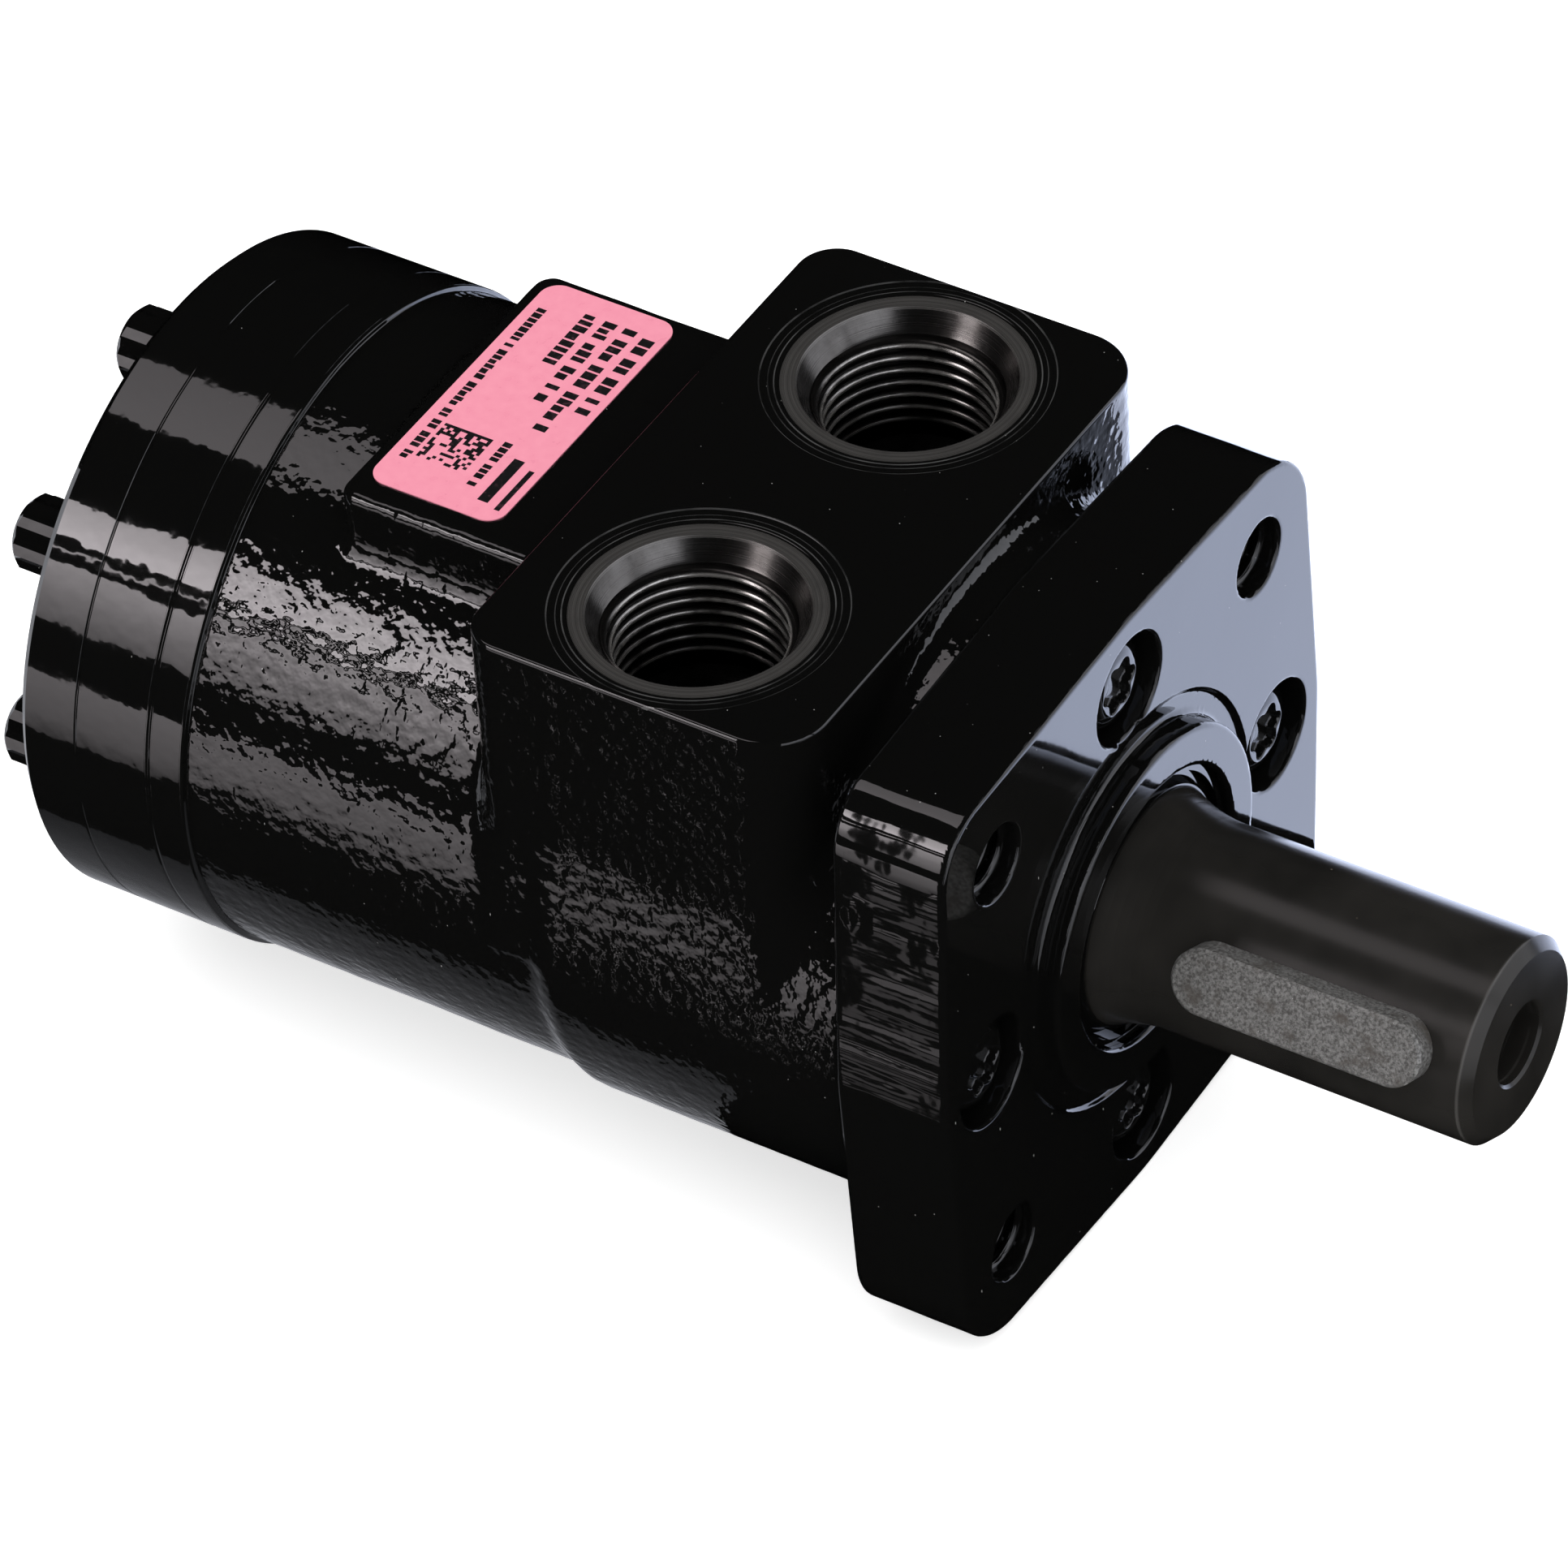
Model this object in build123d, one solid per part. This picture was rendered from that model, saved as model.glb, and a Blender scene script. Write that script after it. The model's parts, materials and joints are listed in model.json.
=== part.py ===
from build123d import *
import os
from math import cos, sin, pi, radians, degrees, atan2, hypot

# Orbit-type hydraulic motor with a four-hole square mounting flange, two side
# ports on the top face and a 25 mm keyed output shaft.
# Millimetres. +X runs along the output shaft, +Z points out of the ports, and
# the origin is on the shaft axis in the plane of the mounting face.

# ---- mounting flange -------------------------------------------------------
flange_back_x = -14.4
flange_mid_half = 42.3            # centre to the blunt point of each side
flange_corner_half = 40.1         # centre to each side line at the corners
flange_tight_corner_radius = 8.0  # the corner at -Y +Z
flange_wide_corner_radius = 11.5  # the other three corners
flange_mid_radius = 14.0
flange_edge_radius = 0.5
pilot_radius = 22.2
pilot_height = 2.67
pilot_edge_radius = 0.55
relief_outer_radius = 25.4        # shallow ring cut at the foot of the pilot
relief_depth = 0.55
relief_draft = 0.7
mount_circle_radius = 41.275      # half of the 82.55 mm bolt circle
mount_thread_radius = 4.7625      # 3/8-16 major radius
mount_mouth_radius = 5.2
front_screw_circle_radius = 32.0
front_screw_hole_radius = 4.1
front_counterbore_radius = 6.9
front_counterbore_depth = 9.2
front_screw_head_radius = 5.95
front_screw_head_height = 7.9
front_screw_length = 30.0
front_screw_socket_depth = 4.2
screw_head_chamfer = 0.6
screw_tip_chamfer = 0.8
socket_core_radius = 2.75         # six-lobe socket: round core and six round lobes
socket_lobe_circle = 2.95
socket_lobe_radius = 0.85

# ---- housing ---------------------------------------------------------------
rear_barrel_radius = 40.1
front_barrel_radius = 41.4
barrel_step_x = -53.5
barrel_step_run = 3.2
housing_rear_x = -103.1
block_front_x = -19.4
block_rear_x = -63.6
block_half_width = 39.4
block_top_z = 44.3
block_front_corner = 7.5
block_rear_corner = 5.0
block_edge_radius = 0.7
pad_into_block = 4.0
pad_depth = 24.0
barrel_edge = 0.5
front_screw_hole_depth = 18.0
rear_screw_tip_gap = 2.0
pad_rear_x = -90.8
pad_half_width = 22.3
pad_top_z = 41.3
pad_corner_radius = 2.5
pad_edge_radius = 1.2
body_bore_radius = 20.65

# ---- ports -----------------------------------------------------------------
port_x = -41.86
port_half_spacing = 22.7
spotface_radius = 17.04
spotface_depth = 0.15
bare_ring_radius = 14.55
bare_ring_depth = 0.3
port_mouth_radius = 12.9
port_cone_depth = 2.7
port_thread_chamfer = 0.25
port_thread_radius = 11.1125      # 7/8-14 major radius
port_thread_depth = 17.0
port_drill_tip_depth = 20.5
channel_radius = 5.2
channel_start_inset = 1.5         # towards the shaft from the port's own axis
channel_end_inset = 5.0
channel_end_z = 10.0
gallery_radius = 24.6
gallery_width = 6.5
gallery_front_x = -33.6
gallery_rear_x = -50.2

# ---- rear stack ------------------------------------------------------------
stack_radius = 40.7
spacer_rear_x = -107.9
ring_rear_x = -117.94
end_cap_rear_x = -126.02
stack_edge_radius = 0.45
end_cap_edge_radius = 1.1
rear_screw_count = 7
rear_screw_circle_radius = 30.0
rear_screw_first_angle = 90.0
rear_screw_hole_radius = 4.2
screw_shank_radius = 3.96
rear_screw_tip_x = -86.0
rear_screw_head_radius = 4.75
rear_screw_head_height = 8.1
rear_screw_head_bevel = 0.9
passage_radius = 2.1
passage_circle_radius = 23.9
passage_front_x = -72.0
timing_slot_length = 7.0
timing_slot_centre = 22.0
timing_slot_reach = 5.4
timing_slot_width = 3.6
spacer_slot_centre = 21.6
spacer_slot_reach = 6.4

# ---- gerotor set -----------------------------------------------------------
lobe_circle_radius = 21.0
lobe_radius = 5.5
ring_pocket_radius = 20.3
eccentricity = 2.2
star_gap = 0.3
star_end_gap = 0.05
star_lobe_count = 6

# ---- splines ---------------------------------------------------------------
spline_teeth = 12
male_tip_radius = 8.8
male_root_radius = 7.2
male_tooth_half_width = 0.75
female_tip_radius = 7.75
female_root_radius = 9.4
female_tooth_half_width = 0.75

# ---- output shaft ----------------------------------------------------------
shaft_end_x = 49.47
shaft_radius = 12.5
shaft_chamfer = 1.35
seal_land_radius = 14.29
seal_land_end_x = 1.7
root_blend_end_x = 9.0
centre_hole_mouth_radius = 5.35
centre_hole_mouth_depth = 3.4
centre_hole_radius = 4.25
centre_hole_depth = 24.0
centre_hole_chamfer = 0.35
centre_hole_tip = 2.4
spool_rear_chamfer = 0.6
spool_front_chamfer = 0.3
spool_radius = 20.6
spool_front_x = -18.05
spool_rear_x = -102.7
spool_bore_radius = 12.6
spool_bore_front_x = -50.0
shaft_spline_front_x = -56.0
shaft_spline_rear_x = -68.0
axial_slot_count = 12
axial_slot_width = 3.2
axial_slot_depth = 2.6
timing_zone_rear_x = -78.0
rear_groove_land = 3.0            # shaft left between a groove and the next slots
key_angle = 156.06                # turn about +X from +Y
key_front_x = 44.5
key_rear_x = 12.7
key_width = 8.0
key_top = 15.55                   # distance of its flat top from the axis
key_seat = 8.5
key_clearance = 0.02
key_edge = 0.35
key_cutter_margin = 4.0

# ---- drive link ------------------------------------------------------------
link_front_pivot_x = -62.0
link_rear_pivot_x = -111.4
link_head_half_length = 3.2
link_shank_radius = 5.6
link_neck_radius = 6.6
link_rear_stub = 0.3
link_front_stub = 1.5
link_neck_run = 3.0
drive_spacer_edge = 0.3
link_bore_radius = 11.3
drive_spacer_radius = 6.4
drive_spacer_front_x = -115.6
drive_spacer_rear_x = -117.84

# ---- seals, washers and bearing ---------------------------------------------
seal_cavity_radius = 19.0
seal_cavity_front_x = -6.9
shaft_seal_rear_x = -13.9
shaft_seal_front_x = -7.6
seal_lip_radius = 14.34
seal_body_inner_radius = 16.6
seal_throat_radius = 15.05
seal_throat_x = -9.4
seal_lip_front_x = -11.2
seal_lip_rear_x = -12.2
seal_lip_back_radius = 15.2
seal_lip_back_x = -12.8
seal_pocket_x = -11.3
seal_edge_radius = 0.5
backup_front_x = -6.95
backup_rear_x = -7.5
flange_bore_radius = 14.65
dust_seat_radius = 17.1
dust_seat_rear_x = -2.4
dust_seat_chamfer = 0.4
dust_seal_front_x = 1.5
dust_seal_face_drop = 1.1         # the face between rim and lip lies this far back
dust_seal_rim_width = 0.9
dust_lip_foot_radius = 15.3
dust_lip_width = 0.25
dust_lip_flat = 0.5
dust_lip_slope = 2.0
race_front_x = -14.45
race_rear_x = -15.95
race_inner_radius = 14.7
race_outer_radius = 20.3
cage_front_x = -16.05
cage_rear_x = -17.95
cage_inner_radius = 14.9
cage_outer_radius = 20.2
needle_count = 24
needle_radius = 0.95
needle_length = 3.9
needle_circle_radius = 17.55
cage_inset = 0.25                 # the cage is thinner than the needles
needle_pocket_gap = 0.03
ring_seal_radius = 37.3           # the three body seals lie outside the screws
ring_seal_width = 2.0
ring_seal_depth = 1.35
flange_seal_radius = 25.6
label_front_x = -71.3
label_rear_x = -88.9
label_near_y = -18.8
label_far_y = 20.8
label_thickness = 0.15
label_corner_radius = 2.4
slack = 0.02                      # fitting gap between assembled pieces

os.makedirs("parts", exist_ok=True)


# ---- helpers ---------------------------------------------------------------
def turned(outline):
    """Solid of revolution about the shaft axis from (x, radius) points."""
    profile = make_face(Polyline(*outline, close=True))
    return revolve(profile, axis=Axis.X)


def tube(rear_x, front_x, outer, inner=0.0):
    """Plain cylinder or sleeve along the shaft axis."""
    return turned([(rear_x, inner), (rear_x, outer), (front_x, outer), (front_x, inner)])


def rod(rear_x, front_x, radius, y, z):
    """Cylinder parallel to the shaft axis through (y, z)."""
    start = Plane(origin=(rear_x, y, z), x_dir=(0, 1, 0), z_dir=(1, 0, 0))
    return extrude(start * Circle(radius), amount=front_x - rear_x)


def section_bar(sketch, rear_x, front_x):
    """Extrude a sketch drawn in the Y-Z plane from rear_x to front_x."""
    start = Plane(origin=(rear_x, 0, 0), x_dir=(0, 1, 0), z_dir=(1, 0, 0))
    return extrude(start * sketch, amount=front_x - rear_x)


def around(count, first_angle=0.0):
    """Angles in degrees of evenly spaced stations about the shaft axis."""
    return [first_angle + 360.0 * i / count for i in range(count)]


def on_circle(radius, angle):
    return radius * cos(radians(angle)), radius * sin(radians(angle))


def turn_about_shaft(shape, angle):
    return shape.rotate(Axis.X, angle)


def spline_section(tip, root, half_width):
    """Toothed disc: root circle plus straight-sided teeth reaching the tip circle."""
    section = Circle(root)
    tooth = Pos((tip + root / 2) / 2, 0) * Rectangle(tip - root / 2, 2 * half_width)
    for angle in around(spline_teeth):
        section += Rot(0, 0, angle) * tooth
    return section & Circle(tip)


def spline_hole(tip, root, half_width):
    """Opening with inward teeth: root circle less teeth that stop at the tip circle."""
    section = Circle(root)
    reach = root + 1.0
    tooth = Pos((tip + reach) / 2, 0) * Rectangle(reach - tip, 2 * half_width)
    half_pitch = 180.0 / spline_teeth
    for angle in around(spline_teeth, half_pitch):
        section -= Rot(0, 0, angle) * tooth
    return section


def write(shape, name):
    shape.label = name
    export_step(shape, f"parts/{name}.step")


# ---- mounting flange -------------------------------------------------------
def flange_outline():
    """Square with rounded corners whose sides swell slightly to a blunt mid point."""
    m, c = flange_mid_half, flange_corner_half
    points = [(m, 0), (c, c), (0, m), (-c, c), (-m, 0), (-c, -c), (0, -m), (c, -c)]
    plate = make_face(Polyline(*points, close=True))
    corners = [v for v in plate.vertices() if hypot(v.X, v.Y) > 1.1 * m]
    tight = [v for v in corners if v.X < 0 < v.Y]
    plate = fillet(tight, flange_tight_corner_radius)
    wide = [v for v in plate.vertices() if hypot(v.X, v.Y) > 1.25 * m]
    plate = fillet(wide, flange_wide_corner_radius)
    mids = [v for v in plate.vertices() if min(abs(v.X), abs(v.Y)) < 0.01]
    return fillet(mids, flange_mid_radius)


def front_flange():
    plate = section_bar(flange_outline(), flange_back_x, 0)
    long_edges = plate.faces().sort_by(Axis.X)[-1].edges()
    plate = fillet(long_edges, flange_edge_radius)
    pilot = tube(flange_back_x + 2, pilot_height, pilot_radius)
    rim = pilot.edges().group_by(Axis.X)[-1]
    pilot = fillet(rim, pilot_edge_radius)
    relief = turned([
        (-relief_depth, pilot_radius - 0.5),
        (-relief_depth, relief_outer_radius - relief_draft),
        (0.01, relief_outer_radius),
        (0.01, pilot_radius - 0.5),
    ])
    body = plate - relief + pilot
    # stepped bore: seal cavity behind, web, dust seal seat in front
    body -= tube(flange_back_x, seal_cavity_front_x, seal_cavity_radius)
    body -= tube(flange_back_x, pilot_height, flange_bore_radius)
    body -= turned([
        (dust_seat_rear_x, 0),
        (dust_seat_rear_x, dust_seat_radius),
        (pilot_height - dust_seat_chamfer, dust_seat_radius),
        (pilot_height, dust_seat_radius + dust_seat_chamfer),
        (pilot_height, 0),
    ])
    for angle in around(4, 45.0):
        y, z = on_circle(mount_circle_radius, angle)
        body -= rod(flange_back_x, 0, mount_thread_radius, y, z)
        body -= mouth_cone(y, z)
    for angle in around(4):
        y, z = on_circle(front_screw_circle_radius, angle)
        body -= rod(flange_back_x, 0, front_screw_hole_radius, y, z)
        body -= rod(-front_counterbore_depth, 0.1, front_counterbore_radius, y, z)
    return body


def mouth_cone(y, z):
    """Chamfer at the front of a tapped mounting hole."""
    run = mount_mouth_radius - mount_thread_radius
    face = Plane(origin=(-run, y, z), x_dir=(0, 1, 0), z_dir=(1, 0, 0))
    start = face * Circle(mount_thread_radius)
    end = face.offset(run) * Circle(mount_mouth_radius)
    return loft([start, end])


# ---- housing ---------------------------------------------------------------
def port_block():
    length = block_front_x - block_rear_x
    middle = (block_front_x + block_rear_x) / 2
    block = Pos(middle, 0, block_top_z / 2) * Box(length, 2 * block_half_width, block_top_z)
    uprights = block.edges().filter_by(Axis.Z)
    block = fillet([e for e in uprights if e.center().X < middle], block_rear_corner)
    fronts = [e for e in block.edges().filter_by(Axis.Z) if e.center().X > middle + 5]
    block = fillet(fronts, block_front_corner)
    return fillet(block.faces().sort_by(Axis.Z)[-1].edges(), block_edge_radius)


def label_pad():
    front_x = block_rear_x + pad_into_block
    length = front_x - pad_rear_x
    centre = Pos((front_x + pad_rear_x) / 2, 0, pad_top_z - pad_depth / 2)
    pad = centre * Box(length, 2 * pad_half_width, pad_depth)
    rear = [e for e in pad.edges().filter_by(Axis.Z) if e.center().X < pad_rear_x + 1]
    pad = fillet(rear, pad_corner_radius)
    top = pad.faces().sort_by(Axis.Z)[-1]
    rims = [e for e in top.edges() if e.center().X < front_x - 1]
    return fillet(rims, pad_edge_radius)


def port_cavity(side):
    """Spotface, bare ring, seal cone, tapped bore and drilled tip of one port."""
    y = side * port_half_spacing
    outline = [
        (0, 0.01),
        (spotface_radius, 0.01),
        (spotface_radius, -spotface_depth),
        (bare_ring_radius, -spotface_depth),
        (bare_ring_radius, -bare_ring_depth),
        (port_mouth_radius, -bare_ring_depth),
        (port_thread_radius + port_thread_chamfer, -port_cone_depth),
        (port_thread_radius, -port_cone_depth - port_thread_chamfer),
        (port_thread_radius, -port_thread_depth),
        (0, -port_drill_tip_depth),
    ]
    face = make_face(Plane.XZ * Polyline(*outline, close=True))
    return Pos(port_x, y, block_top_z) * revolve(face, axis=Axis.Z)


def port_channel(side, gallery_x):
    """Slanted drilling from the bottom of a port to its ring gallery."""
    start_y = side * (port_half_spacing - channel_start_inset)
    end_y = side * (body_bore_radius - channel_end_inset)
    start = Vector(port_x, start_y, block_top_z - port_thread_depth)
    end = Vector(gallery_x, end_y, channel_end_z)
    run = end - start
    return extrude(Plane(origin=start, z_dir=run) * Circle(channel_radius), amount=run.length)


def gallery(middle_x):
    half = gallery_width / 2
    return tube(middle_x - half, middle_x + half, gallery_radius)


def ring_seal_seat(front_x, rear_x, radius):
    half = ring_seal_width / 2
    return tube(rear_x, front_x, radius + half, radius - half)


def timing_passage(angle):
    """Axial drilling and the radial slot that joins it to the spool bore."""
    y, z = on_circle(passage_circle_radius, angle)
    drilling = rod(housing_rear_x, passage_front_x, passage_radius, y, z)
    slot = Pos(passage_front_x - timing_slot_length / 2, timing_slot_centre, 0)
    slot = slot * Box(timing_slot_length, timing_slot_reach, timing_slot_width)
    return drilling + turn_about_shaft(slot, angle)


def housing():
    barrel = turned([
        (housing_rear_x, 0),
        (housing_rear_x, rear_barrel_radius - barrel_edge),
        (housing_rear_x + barrel_edge, rear_barrel_radius),
        (barrel_step_x - barrel_step_run, rear_barrel_radius),
        (barrel_step_x, front_barrel_radius),
        (flange_back_x - barrel_edge, front_barrel_radius),
        (flange_back_x, front_barrel_radius - barrel_edge),
        (flange_back_x, 0),
    ])
    body = barrel + port_block() + label_pad()
    body -= tube(housing_rear_x, flange_back_x, body_bore_radius)
    body -= gallery(gallery_front_x)
    body -= gallery(gallery_rear_x)
    for side, gallery_x in ((-1, gallery_front_x), (1, gallery_rear_x)):
        body -= port_cavity(side)
        body -= port_channel(side, gallery_x)
    for angle in around(4):
        y, z = on_circle(front_screw_circle_radius, angle)
        rear_x = flange_back_x - front_screw_hole_depth
        body -= rod(rear_x, flange_back_x, screw_shank_radius + slack, y, z)
    for angle in around(rear_screw_count, rear_screw_first_angle):
        y, z = on_circle(rear_screw_circle_radius, angle)
        front_x = rear_screw_tip_x + rear_screw_tip_gap
        body -= rod(housing_rear_x, front_x, screw_shank_radius + slack, y, z)
    half_step = 180.0 / rear_screw_count
    for angle in around(rear_screw_count, rear_screw_first_angle + half_step):
        body -= timing_passage(angle)
    seat = ring_seal_depth + slack
    body -= ring_seal_seat(housing_rear_x + seat, housing_rear_x, ring_seal_radius)
    body -= ring_seal_seat(flange_back_x, flange_back_x - seat, flange_seal_radius)
    return body


# ---- rear stack ------------------------------------------------------------
def stack_disc(rear_x, front_x, rear_edge, front_edge):
    return turned([
        (rear_x, 0),
        (rear_x, stack_radius - rear_edge),
        (rear_x + rear_edge, stack_radius),
        (front_x - front_edge, stack_radius),
        (front_x, stack_radius - front_edge),
        (front_x, 0),
    ])


def drill_stack(disc, rear_x, front_x):
    for angle in around(rear_screw_count, rear_screw_first_angle):
        y, z = on_circle(rear_screw_circle_radius, angle)
        disc -= rod(rear_x, front_x, rear_screw_hole_radius, y, z)
    return disc


def spacer_plate():
    plate = stack_disc(spacer_rear_x, housing_rear_x, stack_edge_radius, stack_edge_radius)
    plate -= tube(spacer_rear_x, housing_rear_x, link_bore_radius)
    thick = housing_rear_x - spacer_rear_x
    middle = (housing_rear_x + spacer_rear_x) / 2
    half_step = 180.0 / rear_screw_count
    slot = Pos(middle, spacer_slot_centre, 0) * Box(thick, spacer_slot_reach, timing_slot_width)
    for angle in around(rear_screw_count, rear_screw_first_angle + half_step):
        plate -= turn_about_shaft(slot, angle)
    seat = ring_seal_depth + slack
    plate -= ring_seal_seat(spacer_rear_x + seat, spacer_rear_x, ring_seal_radius)
    return drill_stack(plate, spacer_rear_x, housing_rear_x)


def gerotor_ring():
    cavity = Circle(ring_pocket_radius)
    for angle in around(rear_screw_count, rear_screw_first_angle):
        y, z = on_circle(lobe_circle_radius, angle)
        cavity -= Pos(y, z) * Circle(lobe_radius)
    ring = stack_disc(ring_rear_x, spacer_rear_x, stack_edge_radius / 2, stack_edge_radius)
    ring -= section_bar(cavity, ring_rear_x, spacer_rear_x)
    return drill_stack(ring, ring_rear_x, spacer_rear_x)


def star_point(beta):
    """Inner offset of the path that the ring's lobe centres trace in the star's frame."""
    r, e = lobe_circle_radius, eccentricity
    n = star_lobe_count + 1
    y = r * cos(beta) + e * cos(n * beta)
    z = r * sin(beta) + e * sin(n * beta)
    dy = -r * sin(beta) - n * e * sin(n * beta)
    dz = r * cos(beta) + n * e * cos(n * beta)
    inward = (lobe_radius + star_gap) / hypot(dy, dz)
    return y - dz * inward, z + dy * inward


def even_points(points, count):
    """Keep count points spaced evenly by length along a closed outline."""
    steps = [hypot(b[0] - a[0], b[1] - a[1]) for a, b in zip(points, points[1:] + points[:1])]
    pitch = sum(steps) / count
    kept, travelled = [], 0.0
    for point, step in zip(points, steps):
        if travelled >= pitch * len(kept) - 1e-9 and len(kept) < count:
            kept.append(point)
        travelled += step
    return kept


def gerotor_star():
    fine = 2000 * star_lobe_count
    points = [star_point(2 * pi * i / fine) for i in range(fine)]
    outline = make_face(Spline(*even_points(points, 20 * star_lobe_count), periodic=True))
    outline -= spline_hole(female_tip_radius, female_root_radius, female_tooth_half_width)
    star = section_bar(outline, ring_rear_x + star_end_gap, spacer_rear_x - star_end_gap)
    return Pos(0, 0, eccentricity) * star


def end_cap():
    cap = stack_disc(end_cap_rear_x, ring_rear_x, end_cap_edge_radius, stack_edge_radius / 2)
    seat = ring_seal_depth + slack
    cap -= ring_seal_seat(ring_rear_x, ring_rear_x - seat, ring_seal_radius)
    return drill_stack(cap, end_cap_rear_x, ring_rear_x)


# ---- shaft and drive -------------------------------------------------------
def key_outline(extra):
    """Round-ended slot drawn along the shaft, widened by extra all round."""
    straight = key_front_x - key_rear_x - key_width
    return SlotCenterToCenter(straight, key_width + 2 * extra)


def key_solid(bottom, top, extra):
    middle_x = (key_front_x + key_rear_x) / 2
    seat = Plane(origin=(middle_x, 0, bottom), x_dir=(1, 0, 0), z_dir=(0, 0, 1))
    block = extrude(seat * key_outline(extra), amount=top - bottom)
    return block


def place_key(shape):
    """The key is drawn on the +Z side; +Z is the 90 degree station."""
    return turn_about_shaft(shape, key_angle - 90.0)


def shaft_key():
    key = key_solid(key_seat + key_clearance, key_top, 0.0)
    key = chamfer(key.faces().sort_by(Axis.Z)[-1].edges(), key_edge)
    return place_key(key)


def root_blend():
    """Concave blend from the seal land down to the 25 mm output end."""
    run = root_blend_end_x - seal_land_end_x
    rise = seal_land_radius - shaft_radius
    steps = 6
    points = []
    for i in range(steps + 1):
        t = i / steps
        points.append((seal_land_end_x + run * t, shaft_radius + rise * (1 - t) ** 2))
    return points


def output_shaft():
    outline = [
        (spool_rear_x, 0),
        (spool_rear_x, spool_radius - spool_rear_chamfer),
        (spool_rear_x + spool_rear_chamfer, spool_radius),
        (spool_front_x - spool_front_chamfer, spool_radius),
        (spool_front_x, spool_radius - spool_front_chamfer),
        (spool_front_x, seal_land_radius),
        *root_blend(),
        (shaft_end_x - shaft_chamfer, shaft_radius),
        (shaft_end_x, shaft_radius - shaft_chamfer),
        (shaft_end_x, 0),
    ]
    shaft = turned(outline)
    shaft -= tube(spool_rear_x, shaft_spline_rear_x, spool_bore_radius)
    splines = spline_hole(female_tip_radius, female_root_radius, female_tooth_half_width)
    shaft -= section_bar(splines, shaft_spline_rear_x, shaft_spline_front_x)
    shaft -= tube(shaft_spline_front_x, spool_bore_front_x, female_root_radius)
    tip = shaft_end_x - centre_hole_depth
    counterbore = centre_hole_mouth_radius - centre_hole_chamfer
    shaft -= turned([
        (tip - centre_hole_tip, 0),
        (tip, centre_hole_radius),
        (shaft_end_x - centre_hole_mouth_depth, centre_hole_radius),
        (shaft_end_x - centre_hole_mouth_depth, counterbore),
        (shaft_end_x - centre_hole_chamfer, counterbore),
        (shaft_end_x, centre_hole_mouth_radius),
        (shaft_end_x, 0),
    ])
    shaft -= place_key(key_solid(key_seat, shaft_radius + key_cutter_margin, key_clearance))
    return cut_spool_valve(shaft)


def cut_spool_valve(shaft):
    """Two ring grooves under the galleries and axial slots that feed the timing zone."""
    inner = spool_radius - axial_slot_depth
    half = gallery_width / 2
    for middle in (gallery_front_x, gallery_rear_x):
        shaft -= tube(middle - half, middle + half, spool_radius + 1, inner)
    for i, angle in enumerate(around(axial_slot_count)):
        feed_x = gallery_front_x if i % 2 else gallery_rear_x
        front_x = feed_x
        if i % 2:
            # slots fed from the front groove start behind the rear groove
            front_x = gallery_rear_x - half - rear_groove_land
        length = front_x - timing_zone_rear_x
        slot = Pos((front_x + timing_zone_rear_x) / 2, spool_radius, 0)
        slot = slot * Box(length, 2 * axial_slot_depth, axial_slot_width)
        shaft -= turn_about_shaft(slot, angle)
    return shaft


def drive_link():
    """Dog-bone link drawn along X about the middle of its front spline, then tilted."""
    span = link_front_pivot_x - link_rear_pivot_x
    head = link_head_half_length
    section = spline_section(male_tip_radius, male_root_radius, male_tooth_half_width)
    link = section_bar(section, -head, head)
    link += section_bar(section, -span - head, -span + head)
    link += turned([
        (-span - head - link_rear_stub, 0),
        (-span - head - link_rear_stub, link_shank_radius),
        (-span - head, link_neck_radius),
        (-span + head, link_neck_radius),
        (-span + head + link_neck_run, link_shank_radius),
        (-head - link_neck_run, link_shank_radius),
        (-head, link_neck_radius),
        (head, link_neck_radius),
        (head + link_front_stub, link_shank_radius),
        (head + link_front_stub, 0),
    ])
    # the rear end rises to the star's centre
    tilt = degrees(atan2(eccentricity, span))
    link = link.rotate(Axis.Y, tilt)
    return Pos(link_front_pivot_x, 0, 0) * link


def drive_spacer():
    edge = drive_spacer_edge
    disc = turned([
        (drive_spacer_rear_x, 0),
        (drive_spacer_rear_x, drive_spacer_radius - edge),
        (drive_spacer_rear_x + edge, drive_spacer_radius),
        (drive_spacer_front_x - edge, drive_spacer_radius),
        (drive_spacer_front_x, drive_spacer_radius - edge),
        (drive_spacer_front_x, 0),
    ])
    return Pos(0, 0, eccentricity) * disc


# ---- bearing and seals -----------------------------------------------------
def thrust_race():
    return tube(race_rear_x, race_front_x, race_outer_radius, race_inner_radius)


def needle(extra):
    """One radial roller of the thrust bearing on the +Y side."""
    middle = (cage_front_x + cage_rear_x) / 2
    start = needle_circle_radius - needle_length / 2 - extra
    seat = Plane(origin=(middle, start, 0), x_dir=(1, 0, 0), z_dir=(0, 1, 0))
    return extrude(seat * Circle(needle_radius + extra), amount=needle_length + 2 * extra)


def thrust_needles():
    return Compound([turn_about_shaft(needle(0), a) for a in around(needle_count)])


def bearing_cage():
    rear_x = cage_rear_x + cage_inset
    front_x = cage_front_x - cage_inset
    cage = tube(rear_x, front_x, cage_outer_radius, cage_inner_radius)
    for angle in around(needle_count):
        cage -= turn_about_shaft(needle(needle_pocket_gap), angle)
    return cage


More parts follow.
